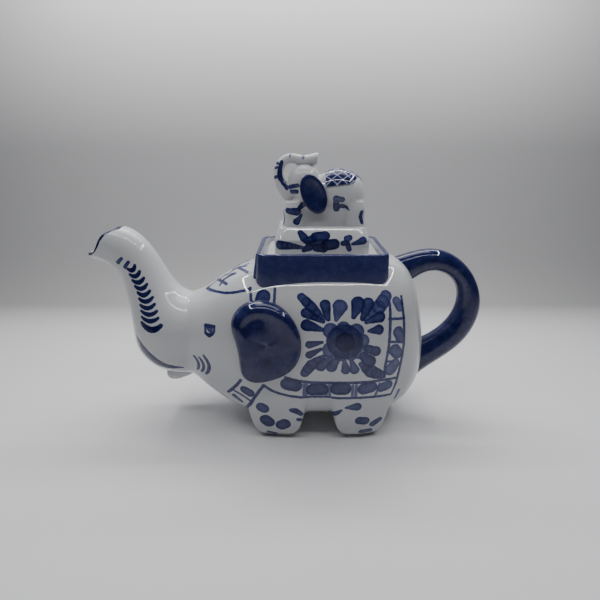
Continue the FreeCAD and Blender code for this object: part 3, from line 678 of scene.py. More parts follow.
def brush_touch_group() -> bpy.types.NodeTree:
    """One straight touch of the brush, added to the cobalt laid so far.

    The touch runs from Start along Run. Way is Run over its squared length. Through is the surface's normal,
    shortened so that depth under the surface counts for less than distance along it.
    """
    web, takes, gives = new_group(
        "brush touch",
        {
            "Place": "Vector", "Start": "Vector", "Run": "Vector", "Way": "Vector", "Through": "Vector",
            "Press": "Float", "Lift": "Float", "Load": "Float", "Cobalt": "Float",
        },
        {"Cobalt": "Float"},
    )
    reach = web.vector("SUBTRACT", takes["Place"], takes["Start"])
    depth = web.vector("DOT_PRODUCT", reach, takes["Through"])
    flat = web.vector("SUBTRACT", reach, web.vector("SCALE", takes["Through"], scale=depth))
    along = web.math("ADD", web.vector("DOT_PRODUCT", flat, takes["Way"]), 0.0, clamp=True)
    distance = web.vector("DISTANCE", flat, web.vector("SCALE", takes["Run"], scale=along))
    width = web.math("MULTIPLY_ADD", along, takes["Lift"], takes["Press"])
    mask = web.math("MULTIPLY_ADD", web.math("SUBTRACT", width, distance), 2.4, 0.5, clamp=True)
    rim = web.math("POWER", web.math("DIVIDE", distance, width, clamp=True), 3.0)
    tone = web.math("MULTIPLY_ADD", rim, 0.42, 0.78)
    laid = web.math("MULTIPLY", web.math("MULTIPLY", mask, tone), takes["Load"])
    more = web.math("MAXIMUM", laid, takes["Cobalt"])
    less = web.math("MINIMUM", laid, takes["Cobalt"])
    web.feed(gives["Cobalt"], web.math("MULTIPLY_ADD", less, 0.12, more))
    return web.tree


def cobalt_glass_group() -> bpy.types.NodeTree:
    """The colour that is seen through the glaze over white ground with so much cobalt on it."""
    web, takes, gives = new_group(
        "cobalt under glass",
        {"Cobalt": "Float", "Ground": "Color", "Place": "Vector", "Streaks": "Float"},
        {"Color": "Color"},
    )
    broad = web.noise(takes["Place"], 0.22, detail=3, distortion=0.6)
    fine = web.noise(web.vector("MULTIPLY", takes["Place"], (1.0, 1.0, 0.35)), 1.9, detail=2)
    both = web.math("MULTIPLY_ADD", fine, 0.45, web.math("MULTIPLY", broad, 0.9))
    uneven = web.math("MULTIPLY_ADD", web.math("SUBTRACT", both, 0.675), takes["Streaks"], 1.0)
    amount = web.math("MINIMUM", web.math("MULTIPLY", takes["Cobalt"], uneven), 3.0)
    ground = web.split(takes["Ground"])
    lit = []
    for part, stain in zip(ground, (2.15, 2.0, 1.12)):
        passed = web.math("EXPONENT", web.math("MULTIPLY", amount, -stain))
        lit.append(web.math("MULTIPLY", part, passed))
    web.feed(gives["Color"], web.join(*lit))
    return web.tree


def glaze_skin_group() -> bpy.types.NodeTree:
    """The glaze's own faults: a waved skin, dull and bright patches, kiln specks, and bare soles."""
    web, takes, gives = new_group(
        "glaze skin",
        {"Place": "Vector", "Gloss": "Float", "Specks": "Float", "Sole height": "Float"},
        {"Roughness": "Float", "Height": "Float", "Ground": "Color"},
    )
    place = takes["Place"]
    patches = web.noise(place, 0.06, detail=3)
    orange = web.noise(place, 0.55, detail=2)
    dimples = web.noise(place, 2.6, detail=1)
    cells = web.node("ShaderNodeTexVoronoi", feature="F1")
    web.feed(cells.inputs["Vector"], place)
    cells.inputs["Scale"].default_value = 0.16
    chance = web.math("GREATER_THAN", web.split(cells.outputs["Color"])[0], 0.82)
    spot = web.math("MULTIPLY", web.math("LESS_THAN", cells.outputs["Distance"], 0.045), chance)
    speck = web.math("MULTIPLY", spot, takes["Specks"])
    height = web.split(place)[2]
    bare = web.math("MULTIPLY_ADD", web.math("SUBTRACT", takes["Sole height"], height), 1.6, 0.5, clamp=True)
    white = web.node("ShaderNodeMix", data_type="RGBA")
    web.feed(white.inputs[0], patches)
    white.inputs[6].default_value = (0.55, 0.565, 0.595, 1)
    white.inputs[7].default_value = (0.60, 0.605, 0.62, 1)
    clay = web.node("ShaderNodeMix", data_type="RGBA")
    web.feed(clay.inputs[0], bare)
    web.feed(clay.inputs[6], white.outputs[2])
    clay.inputs[7].default_value = (0.70, 0.67, 0.61, 1)
    brown = web.node("ShaderNodeMix", data_type="RGBA")
    web.feed(brown.inputs[0], speck)
    web.feed(brown.inputs[6], clay.outputs[2])
    brown.inputs[7].default_value = (0.16, 0.10, 0.06, 1)
    glossy = web.math("MULTIPLY_ADD", patches, 0.04, takes["Gloss"])
    web.feed(gives["Roughness"], web.math("MULTIPLY_ADD", bare, 0.55, glossy))
    web.feed(gives["Height"], web.math("MULTIPLY_ADD", dimples, 0.06, orange))
    web.feed(gives["Ground"], brown.outputs[2])
    return web.tree


class Groups:
    """The shader node groups that the finishes share, each built once."""

    def __init__(self) -> None:
        """Builds them all."""
        self.flank = near_flank_group()
        self.touch = brush_touch_group()
        self.glass = cobalt_glass_group()
        self.skin = glaze_skin_group()


@dataclass(frozen=True)
class Touch:
    """A straight part of a stroke as it lies on the piece, in millimetres."""

    start: Vector
    run: Vector
    through: Vector
    press: float
    lift: float
    load: float


class Brush:
    """Lays strokes from the canvas onto a finished piece."""

    depth_kept = 0.15  # how much depth under the surface still counts

    def __init__(self, piece: bpy.types.Object) -> None:
        """Takes the piece that is painted."""
        self.piece = piece

    def _find(self, x: float, z: float) -> tuple[Vector, Vector]:
        """The place on the near flank, and its normal, that lies behind a place on the canvas."""
        hit, place, normal, _ = self.piece.ray_cast(mm(x, -300, z), Vector((0, 1, 0)))
        if not hit:
            _, place, normal, _ = self.piece.closest_point_on_mesh(mm(x, -6, z))
        return place / MM, normal

    def lay(self, strokes: Iterable[Stroke], longest: float = 9.0) -> list[Touch]:
        """Lays strokes, with long parts of a path broken up so that they follow the surface.

        Args:
            strokes: what is painted.
            longest: the longest straight part, in millimetres.

        Returns:
            The touches, in order.
        """
        touches = []
        for one in strokes:
            path = self._curved(one.path)
            for (x0, z0, w0), (x1, z1, w1) in zip(path, path[1:]):
                steps = max(1, math.ceil(math.dist((x0, z0), (x1, z1)) / longest))
                for i in range(steps):
                    a, b = i / steps, (i + 1) / steps
                    ends = [(x0 + (x1 - x0) * t, z0 + (z1 - z0) * t) for t in (a, b)]
                    widths = [w0 + (w1 - w0) * t for t in (a, b)]
                    touches.append(self._touch(ends, widths, one))
        return touches

    @staticmethod
    def _curved(path: tuple[tuple[float, float, float], ...]) -> list[tuple[float, float, float]]:
        """A path of three or more places with its corners drawn as bends."""
        if len(path) < 3 or len(path) > 9:
            return list(path)
        places = [Vector(place) for place in path]
        ends = [2 * places[0] - places[1], *places, 2 * places[-1] - places[-2]]
        drawn = [path[0]]
        for a, b, c, d in zip(ends, ends[1:], ends[2:], ends[3:]):
            drawn.append(tuple((9 * (b + c) - a - d) / 16))
            drawn.append(tuple(c))
        return drawn

    def _touch(self, ends: list[tuple[float, float]], widths: list[float], one: Stroke) -> Touch:
        """One straight touch between two places on the canvas."""
        if one.around:
            start, end = (Vector((x, 0, z)) for x, z in ends)
            through = Vector((0, 1, 0))
        else:
            (start, first), (end, second) = (self._find(x, z) for x, z in ends)
            through = (first + second).normalized() * math.sqrt(1 - self.depth_kept)
        return Touch(start, end - start, through, widths[0], widths[1], one.load)


@dataclass(frozen=True)
class Porcelain:
    """White porcelain with cobalt under a clear glaze.

    Attributes:
        name: the material's name.
        gloss: the glaze's roughness where it is cleanest.
        wash: cobalt laid all over, as on the solid blue pieces.
        streaks: how uneven the cobalt is.
        specks: how strongly kiln specks show, from 0 to 1.
        sole_height: the glaze is wiped off below this height in millimetres.
        wave: how far the glaze's skin stands up in its waves, in millimetres.
    """

    name: str
    gloss: float = 0.03
    wash: float = 0.0
    streaks: float = 0.75
    specks: float = 0.5
    sole_height: float = -10.0
    wave: float = 0.014

    def make(self, groups: Groups, touches: Iterable[Touch] = ()) -> bpy.types.Material:
        """Builds the material with its painting.

        Args:
            groups: the shared node groups.
            touches: the touches of the brush, in order.

        Returns:
            The material.
        """
        made = bpy.data.materials.new(self.name)
        made.use_nodes = True
        web = Web(made.node_tree)
        shader = made.node_tree.nodes["Principled BSDF"]
        places = web.use(groups.flank, Wobble=0.6)
        cobalt: Source = self.wash
        for touch in touches:
            length = max(touch.run.length_squared, 1e-4)
            cobalt = web.use(
                groups.touch,
                Place=places["Folded"],
                Start=touch.start,
                Run=touch.run,
                Way=touch.run / length,
                Through=touch.through,
                Press=touch.press,
                Lift=touch.lift - touch.press,
                Load=touch.load,
                Cobalt=cobalt,
            )["Cobalt"]
        skin = web.use(
            groups.skin,
            Place=places["Place"],
            Gloss=self.gloss,
            Specks=self.specks,
            Sole_height=self.sole_height,
        )
        colour = web.use(
            groups.glass, Cobalt=self._extra(web, places["Place"], cobalt), Ground=skin["Ground"],
            Place=places["Place"], Streaks=self.streaks,
        )
        web.feed(shader.inputs["Base Color"], colour["Color"])
        web.feed(shader.inputs["Roughness"], skin["Roughness"])
        bump = web.node("ShaderNodeBump")
        bump.inputs["Distance"].default_value = self.wave * MM
        web.feed(bump.inputs["Height"], skin["Height"])
        web.feed(shader.inputs["Normal"], bump.outputs["Normal"])
        shader.inputs["IOR"].default_value = 1.52
        return made

    def _extra(self, web: Web, place: Source, cobalt: Source) -> Source:
        """Cobalt that a finish adds or leaves out by itself; none here."""
        return cobalt


@dataclass(frozen=True)
class SaddlePorcelain(Porcelain):
    """The saddle cloth: a cobalt ground with a white lattice left in it.

    Attributes:
        mesh: the distance between two of its lines along the cloth, in millimetres.
        line: half the width of a line, as a share of that distance.
    """

    mesh: float = 6.2
    line: float = 0.07

    def _extra(self, web: Web, place: Source, cobalt: Source) -> Source:
        """Lifts the cobalt along two sets of slanting lines.

        Args:
            web: the material's nodes.
            place: the place on the piece, in millimetres.
            cobalt: the cobalt laid so far.

        Returns:
            The cobalt that is left.
        """
        x, y, z = web.split(place)
        drop = web.math("MULTIPLY", web.math("SUBTRACT", z, web.math("ABSOLUTE", y)), 0.8)
        lines = None
        for turn in (1.0, -1.0):
            run = web.math("DIVIDE", web.math("MULTIPLY_ADD", drop, turn, x), self.mesh)
            off = web.math("ABSOLUTE", web.math("SUBTRACT", web.math("FRACT", run), 0.5))
            one = web.math("MULTIPLY_ADD", web.math("SUBTRACT", self.line, off), 14.0, 0.5, clamp=True)
            lines = one if lines is None else web.math("MAXIMUM", lines, one)
        kept = web.math("MULTIPLY_ADD", lines, -0.93, 1.0)
        return web.math("MULTIPLY", cobalt, kept)


@dataclass(frozen=True)
class Region:
    """A part of a painted piece with a finish of its own, as a box on the canvas in millimetres."""

    name: str
    low: tuple[float, float]
    high: tuple[float, float]

    def holds(self, x: float, z: float, margin: float = 0.0) -> bool:
        """Whether a place on the canvas lies in the box, or within a margin of it."""
        return (
            self.low[0] - margin <= x < self.high[0] + margin
            and self.low[1] - margin <= z < self.high[1] + margin
        )


# ---------------------------------------------------------------- the pot


@dataclass
class PotCasting:
    """The trunk, head, body and legs, which are one smooth skin of porcelain.

    Attributes:
        sections: its rings, from the trunk's mouth to the rump.
        wall: the thickness of the porcelain.
        legs_x: the middle of the front and rear legs along the pot.
        leg_y: how far a leg stands from the middle plane.
        leg_steps: each step down a leg: height, half length and half width.
    """

    wall: float = 3.4
    legs_x: tuple[float, float] = (-6.8, 43.6)
    leg_y: float = 22.5
    leg_steps: tuple[tuple[float, float, float], ...] = (
        (12.5, 15.8, 13.8),
        (5.2, 12.8, 11.6),
        (1.0, 8.0, 7.6),
        (0, 5.0, 4.6),
    )
    regions: tuple[Region, ...] = (
        Region("painted trunk", (-200, -50), (-58, 200)),
        Region("painted head", (-58, 36), (-16, 200)),
        Region("painted belly", (-58, -50), (200, 30)),
        Region("painted jaw", (-58, 30), (-16, 36)),
        Region("painted border", (-16, 30), (200, 47)),
        Region("painted flank", (-16, 47), (22, 200)),
        Region("painted flower", (22, 47), (34, 200)),
        Region("painted loin", (34, 47), (46, 200)),
        Region("painted hip", (46, 47), (200, 200)),
    )
    sections: tuple[Section, ...] = (
        Section((-120.6, 108.2), (-99.6, 125.6), 12.0),
        Section((-113.2, 105.2), (-96, 125.2), 11.4),
        Section((-106, 102), (-90, 122.4), 11.2),
        Section((-101, 94.4), (-84, 116.2), 11.6),
        Section((-98.9, 85), (-79.6, 109), 12.8),
        Section((-98, 73.5), (-76, 102), 14.8),
        Section((-97.2, 61.5), (-73.2, 96.2), 17.2),
        Section((-96.6, 49.5), (-70.4, 91.6), 19.8),
        Section((-91.6, 41.4), (-67.6, 88), 22.2, trail=0.5),
        Section((-84.2, 35), (-65, 86), 23.4, trail=1.5),
        Section((-75, 31.6), (-63.2, 85.2), 23.4, trail=3),
        Section((-67, 31), (-61.2, 84.4), 22.2, trail=4),
        Section((-61.5, 32.6), (-57.6, 85.2), 24.0, trail=3, fullness=1.02),
        Section((-53.5, 26.2), (-50, 88), 27.6, trail=1.5, fullness=1.05),
        Section((-44, 19.8), (-42, 94.2), 31.2, fullness=1.08),
        Section((-34, 13.4), (-32, 100), 34.4, fullness=1.1),
        Section((-24.8, 10), (-24, 103.2), 36.8, fullness=1.1),
        Section((-15.8, 9), (-15.8, 105.2), 38.2, fullness=1.1),
        Section((-6.8, 8.6), (-8.8, 106.8), 39.0, fullness=1.1),
        Section((2.2, 8.6), (2.2, 107.6), 39.6, fullness=1.1),
        Section((11.2, 8.8), (11.2, 108), 40.0, fullness=1.1),
        Section((18.5, 8.8), (18.5, 108.2), 40.0, fullness=1.1),
        Section((25.6, 8.8), (25.6, 108.2), 40.0, fullness=1.1),
        Section((34.6, 9), (36.5, 108.2), 39.9, fullness=1.1),
        Section((43.6, 9), (48.6, 108.2), 39.2, fullness=1.1),
        Section((52.6, 9.6), (55.6, 108), 37.8, fullness=1.1),
        Section((61.8, 11), (62.6, 107.4), 35.4, fullness=1.1),
        Section((70.4, 15), (68.8, 104.4), 31.6, fullness=1.1),
        Section((77.2, 21.4), (74, 98), 26.6, fullness=1.08),
        Section((81.6, 29.6), (78.2, 87), 20.0, fullness=1.05),
        Section((83.6, 38), (81.8, 71), 12.4),
    )

    def make(self) -> bpy.types.Object:
        """Draws the skin, pulls the legs, opens the back and gives the wall its thickness."""
        form = DrawnForm("pot_casting", self.sections, points=18)
        bpy.ops.mesh.fill_grid()
        for x in self.legs_x:
            for side in (-1, 1):
                self._pull_leg(form, x, side)
        self._shape_mouth(form)
        form.pick(Select.FACES, lambda p, n: -16 < p.x < 49 and abs(p.y) < 20 and p.z > 95)
        bpy.ops.mesh.delete(type="FACE")
        piece = form.finish()
        piece.data.materials.append(None)
        piece.data.materials.append(None)
        apply(
            piece, "SOLIDIFY", thickness=self.wall * MM, offset=-1, use_even_offset=False, material_offset=1
        )
        smooth_out(piece, 3)
        return piece

    def dress(self, piece: bpy.types.Object, groups: Groups) -> None:
        """Paints each part of the skin with the strokes that reach it, and glazes the inside plain.

        Args:
            piece: the finished casting.
            groups: the shared node groups.
        """
        touches = Brush(piece).lay(BODY_PAINTING)
        inside = [face.material_index == 1 for face in piece.data.polygons]
        piece.data.materials.clear()
        for region in self.regions:
            near = [t for t in touches if self._reaches(t, region)]
            finish = Porcelain(region.name, sole_height=0.5)
            piece.data.materials.append(finish.make(groups, near))
            log.info("%s: %d touches", region.name, len(near))
        piece.data.materials.append(Porcelain("plain glaze inside", specks=0.2).make(groups))
        for face, hidden in zip(piece.data.polygons, inside):
            x, z = face.center.x / MM, face.center.z / MM
            if hidden:
                face.material_index = len(self.regions)
            else:
                face.material_index = next(i for i, r in enumerate(self.regions) if r.holds(x, z))

    @staticmethod
    def _reaches(touch: Touch, region: Region) -> bool:
        """Whether a touch comes near a region."""
        margin = 4 + max(touch.press, touch.lift)
        ends = (touch.start, touch.start + touch.run)
        return any(region.holds(end.x, end.z, margin) for end in ends)

    def _pull_leg(self, form: DrawnForm, x: float, side: int) -> None:
        """Pulls one leg down out of the underside in steps, down to its sole."""
        form.pick(
            Select.FACES,
            lambda p, n: abs(p.x - x) < 16 and 8 < side * p.y < 38 and p.z < 36 and n.z < -0.2,
        )
        for height, half_length, half_width in self.leg_steps:
            form.draw(z=-1)
            form.fit(
                (x - half_length, side * self.leg_y - half_width, height),
                (x + half_length, side * self.leg_y + half_width, height),
            )

    def _shape_mouth(self, form: DrawnForm) -> None:
        """Gives the mouth its S: the rim dips behind the lower lip and stands out below the upper one."""
        low, high = Vector((-120.6, 0, 108.2)), Vector((-99.6, 0, 125.6))
        chord = high - low
        outward = Vector((-chord.z, 0, chord.x)).normalized()
        for point in form.mesh().verts:
            from_low = point.co / MM - low
            if abs(from_low.dot(outward)) > 0.6 or from_low.x > 22:
                continue
            along = from_low.dot(chord) / chord.length_squared
            point.co -= outward * MM * 2.6 * math.sin(2 * math.pi * along)
        bmesh.update_edit_mesh(form.piece.data)


@dataclass
class LowerLip:
    """The small pointed lower lip under the trunk."""

    sections: tuple[Section, ...] = (
        Section((-79.6, 26.2), (-79.4, 36), 5.0),
        Section((-77.4, 24.6), (-76.6, 38), 6.8),
        Section((-73, 24.4), (-72, 40), 7.8),
        Section((-67, 27), (-66, 42), 8.4),
        Section((-60, 30), (-60, 44), 8.4),
    )

    def make(self) -> bpy.types.Object:
        """Draws the lip back into the cheeks, closed at both ends."""
        form = DrawnForm("lower_lip_form", self.sections, points=12)
        bpy.ops.mesh.fill_grid()
        form.close_start()
        piece = form.finish()
        smooth_out(piece, 3)
        return piece


@dataclass
class LoopHandle:
    """The loop handle, from its root under the collar round to the flare low on the rump."""

    sections: tuple[Section, ...] = (
        Section((64, 84.6), (56.5, 105), 8.0),
        Section((69.5, 88), (62.4, 106.2), 7.7),
        Section((75.4, 92.2), (70.4, 108.8), 7.1),
        Section((82.6, 97.6), (80.6, 112), 6.7),
        Section((91, 98.8), (92.6, 112.2), 6.5),
        Section((99.3, 95), (105, 106), 6.4),
        Section((104.4, 88), (115.4, 94.2), 6.5),
        Section((105.6, 79), (120.8, 78.4), 6.8),
        Section((103, 69.6), (118.8, 64.2), 7.0),
        Section((97, 61.6), (111.8, 51), 7.2),
        Section((90, 56.2), (99.6, 40.6), 7.6),
        Section((84.6, 53.4), (88, 32.8), 8.2),
        Section((80.6, 52.4), (80.6, 25), 9.0),
        Section((75, 52), (73, 20), 9.4),
    )

    def make(self) -> bpy.types.Object:
        """Draws the loop, closed inside the body at both roots."""
        form = DrawnForm("loop_handle_form", self.sections, points=16)
        bpy.ops.mesh.fill_grid()
        form.close_start()
        piece = form.finish()
        smooth_out(piece, 3)
        return piece


@dataclass
class Ear:
    """An ear: a flap with a rolled rim round a hollow, and a flatter lobe below.

    Attributes:
        side: -1 for the elephant's right ear and 1 for its left one.
        outline: x and z round the flap, from its upper front corner.
        middle: x and z that its rings close in on.
        rings: each ring's distance in from the outline and its height over the head, from the back edge in.
        lobe: x and z of a point on the lobe's upper edge, how steeply that edge falls, and the lobe's height.
    """

    side: int
    outline: tuple[tuple[float, float], ...] = (
        (-31.4, 76.5),
        (-28.4, 84.2),
        (-21, 89.4),
        (-11, 90.4),
        (-1.6, 86.8),
        (5.2, 78.6),
        (8.2, 68.5),
        (6.8, 58),
        (0.8, 49.8),
        (-8.6, 44.9),
        (-19.2, 42.6),
        (-26.0, 46.8),
        (-27.0, 57),
        (-28.8, 66.5),
    )
    middle: tuple[float, float] = (-9, 67)
    rings: tuple[tuple[float, float], ...] = (
        (1.6, -3.5),
        (0.0, -0.5),
        (0.0, 2.4),
        (1.5, 4.9),
        (3.8, 5.7),
        (6.2, 4.9),
        (8.4, 3.0),
        (11.0, 2.0),
        (14.0, 1.8),
        (17.5, 1.8),
    )
    lobe: tuple[float, float, float, float] = (-24, 70.5, -0.66, 3.9)

    def make(self, head: bpy.types.Object) -> bpy.types.Object:
        """Cuts the flap and draws it up ring by ring into a rim, a hollow and a lobe.

        Args:
            head: the finished casting that the ear lies on.

        Returns:
            The ear.
        """
        Bench.clear()
        points = self._curve(2)
        bpy.ops.mesh.primitive_circle_add(
            vertices=len(points), radius=MM, fill_type="NGON", rotation=(math.radians(90), 0, 0)
        )
        flap = Bench("right_ear_sprig" if self.side < 0 else "left_ear_sprig")
        for inset, height in self.rings:
            if inset != self.rings[0][0]:
                flap.draw(y=self.side)
            self._lay_ring(flap, head, points, inset, height)
        bpy.ops.mesh.poke()
        flap.pick(Select.POINTS, lambda p, n: math.dist((p.x, p.z), self.middle) < 16 and abs(p.y) > 30)
        bpy.ops.mesh.vertices_smooth(factor=0.5, repeat=30, xaxis=False, zaxis=False)
        flap.pick(Select.POINTS, lambda p, n: math.dist((p.x, p.z), self.middle) < 5 and abs(p.y) > 30)
        bpy.ops.mesh.vertices_smooth(factor=0.8, repeat=30, xaxis=False, zaxis=False)
        piece = flap.finish()
        smooth_out(piece, 2)
        return piece

    def _curve(self, parts: int) -> list[Vector]:
        """The outline as a smooth closed curve, with so many parts between two of its points."""
        places = [Vector((x, z)) for x, z in self.outline]
        count = len(places)
        points = []
        for i in range(count):
            a, b, c, d = (places[(i + step) % count] for step in (-1, 0, 1, 2))
            for part in range(parts):
                t = part / parts
                points.append(
                    0.5 * (2 * b + (c - a) * t + (2 * a - 5 * b + 4 * c - d) * t**2
                           + (3 * b - a - 3 * c + d) * t**3)
                )
        return points

    def _lay_ring(
        self, flap: Bench, head: bpy.types.Object, points: list[Vector], inset: float, height: float
    ) -> None:
        """Brings the selected ring to its distance in from the outline and its height.

        Args:
            flap: the ear on the bench.
            head: the casting that it lies on.
            points: the outline.
            inset: the ring's distance in from the outline.
            height: the ring's height over the head.
        """
        centre = Vector(self.middle)
        chosen = [v for v in flap.mesh().verts if v.select]
        turn = {v: math.atan2(v.co.z, v.co.x) for v in chosen}
        if inset != self.rings[0][0]:
            middle = centre * MM
            turn = {v: math.atan2(v.co.z - middle.y, v.co.x - middle.x) for v in chosen}
        order = sorted(chosen, key=turn.get)
        places = sorted(points, key=lambda p: math.atan2(p.y - centre.y, p.x - centre.x))
        for vertex, place in zip(order, places):
            inward = centre - place
            at = place + inward * min(inset / inward.length, 0.93)
            stands = self._skin(head, at) + self._height(at, inset, height)
            vertex.co = mm(at.x, self.side * stands, at.y)
        bmesh.update_edit_mesh(flap.piece.data)

    def _height(self, at: Vector, inset: float, height: float) -> float:
        """How far a place stands over the head, with the lobe filled and the rim thinned beside it.

        Args:
            at: x and z of the place.
            inset: the distance of its ring in from the outline.
            height: the height of its ring.

        Returns:
            The height in millimetres.
        """
        x, z, fall, plateau = self.lobe
        below = (z + fall * (at.x - x)) - at.y
        filled = min(max(below / 5 + 0.5, 0), 1)
        filled = filled**2 * (3 - 2 * filled)
        if inset < 2:
            return height * (1 - 0.18 * filled)
        return height + (plateau - 0.02 * max(below, 0) - height) * filled

    def _skin(self, head: bpy.types.Object, at: Vector) -> float:
        """How far out the head's flank stands behind a place on the ear."""
        _, place, _, _ = head.ray_cast(mm(at.x, self.side * 300, at.y), Vector((0, -self.side, 0)))
        return abs(place.y) / MM


@dataclass
class Collar:
    """The box-shaped collar round the lid opening, with a well and a ledge for the lid.

    Attributes:
        rim: half length, half width and height of its rim.
        base: half length, half width and height of its foot, inside the back.
        wall: the thickness of its wall.
        ledge: height of the ledge.
        throat: half length and half width of the hole inside the ledge.
        corner: the radius of its upright edges.
        edge: the radius of its other edges.
    """

    rim: tuple[float, float, float] = (37.0, 27.6, 114.6)
    base: tuple[float, float, float] = (37.9, 28.8, 93.0)
    wall: float = 2.9
    ledge: float = 108.4
    throat: tuple[float, float] = (28.5, 20.0)
    corner: float = 7.0
    edge: float = 1.35

    def make(self) -> bpy.types.Object:
        """Builds the block, rounds its corners, sinks the well and opens the throat."""
        Bench.clear()
        bpy.ops.mesh.primitive_cube_add(size=MM)
        box = Bench("howdah_collar_form")
        box.fit(
            (LID_X - self.base[0], -self.base[1], self.base[2]),
            (LID_X + self.base[0], self.base[1], self.rim[2]),
        )
        box.round_uprights(self.corner, segments=8)
        box.pick(Select.FACES, lambda p, n: n.z > 0.9)
        box.fit(
            (LID_X - self.rim[0], -self.rim[1], self.rim[2]),
            (LID_X + self.rim[0], self.rim[1], self.rim[2]),
        )
        bpy.ops.mesh.inset(thickness=self.wall * MM)
        box.draw(z=self.ledge - self.rim[2])
        bpy.ops.mesh.inset(thickness=0.5 * MM)
        self._fit_throat(box, self.ledge)
        bpy.ops.mesh.delete(type="FACE")
        box.pick(Select.FACES, lambda p, n: n.z < -0.9)
        bpy.ops.mesh.inset(thickness=self.wall * MM)
        self._fit_throat(box, self.base[2])
        bpy.ops.mesh.delete(type="FACE")
        reach = (self.throat[0] + 0.5, self.throat[1] + 0.5)
        box.pick(
            Select.POINTS, lambda p, n: abs(p.x - LID_X) < reach[0] and abs(p.y) < reach[1]
        )
        bpy.ops.mesh.bridge_edge_loops()
        self._flare(box)
        piece = box.finish()
        soften_edges(piece, self.edge, segments=4, sharpest=38)
        return piece

    def dress(self, piece: bpy.types.Object, outside: bpy.types.Material, inside: bpy.types.Material) -> None:
        """Paints the outside and the rim, and leaves the well and the throat white."""
        piece.data.materials.clear()
        piece.data.materials.append(outside)
        piece.data.materials.append(inside)
        half_length, half_width = (reach - self.wall + 0.2 for reach in self.rim[:2])
        for face in piece.data.polygons:
            at = face.center / MM
            near = abs(at.x - LID_X) < half_length and abs(at.y) < half_width
            face.material_index = int(near and at.z < self.rim[2] - 1.0)

    def _fit_throat(self, box: Bench, height: float) -> None:
        """Brings the selected faces to the throat's size at a height."""
        half_length, half_width = self.throat
        box.fit((LID_X - half_length, -half_width, height), (LID_X + half_length, half_width, height))

    def _flare(self, box: Bench) -> None:
        """Lets the front end's foot swell towards the nape, where it is luted to the neck."""
        box.pick(Select.POINTS, lambda p, n: p.z < self.base[2] + 1 and p.x < LID_X - self.base[0] + 0.1)
        box.move(x=-2.5)


@dataclass
class Lid:
    """The lid: a plate that sits in the collar's well, and the hipped plinth on it.

    Attributes:
        plate_top: height of the plate's top.
        plate_corner: the radius of the plate's upright edges.
        plate_edge: the radius of its other edges.
        plinth: half length and half width of the plinth.
        crease: the height from which the plinth leans in.
        top: half length, half width and height of the plinth's top.
        plinth_corner: the radius of the plinth's upright edges.
        plinth_edge: the radius of its other edges.
    """

    plate_top: float = 112.2
    plate_corner: float = 6.4
    plate_edge: float = 1.1
    plinth: tuple[float, float] = (26.9, 18.4)
    crease: float = 120.4
    top: tuple[float, float, float] = (24.6, 14.4, 127.0)
    plinth_corner: float = 5.0
    plinth_edge: float = 1.5

    def make_plate(self) -> bpy.types.Object:
        """A thin slab with rounded corners and a soft edge."""
        low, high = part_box("lid_plate")
        slab = self._block(
            "lid_plate_form", tuple(low / MM), (high.x / MM, high.y / MM, self.plate_top), self.plate_corner
        )
        piece = slab.finish()
        soften_edges(piece, self.plate_edge, segments=3, sharpest=38)
        return piece

    def make_plinth(self) -> bpy.types.Object:
        """A block that stands upright to a crease and leans in above it, with soft arrises."""
        half_length, half_width = self.plinth
        block = self._block(
            "lid_plinth_form",
            (LID_X - half_length, -half_width, self.plate_top - 1),
            (LID_X + half_length, half_width, self.crease),
            self.plinth_corner,
        )
        block.pick(Select.FACES, lambda p, n: n.z > 0.9)
        block.draw(z=self.top[2] - self.crease)
        block.fit(
            (LID_X - self.top[0], -self.top[1], self.top[2]), (LID_X + self.top[0], self.top[1], self.top[2])
        )
        piece = block.finish()
        soften_edges(piece, self.plinth_edge, segments=4, sharpest=12)
        return piece

    def _block(
        self, name: str, low: tuple[float, float, float], high: tuple[float, float, float], corner: float
    ) -> Bench:
        """A box with its upright edges rounded.

        Args:
            name: the piece's name.
            low: its lowest corner, in millimetres.
            high: its highest corner.
            corner: the radius of its upright edges.

        Returns:
            The box, still on the bench.
        """
        Bench.clear()
        bpy.ops.mesh.primitive_cube_add(size=MM)
        box = Bench(name)
        box.fit(low, high)
        box.round_uprights(corner, segments=7)
        return box


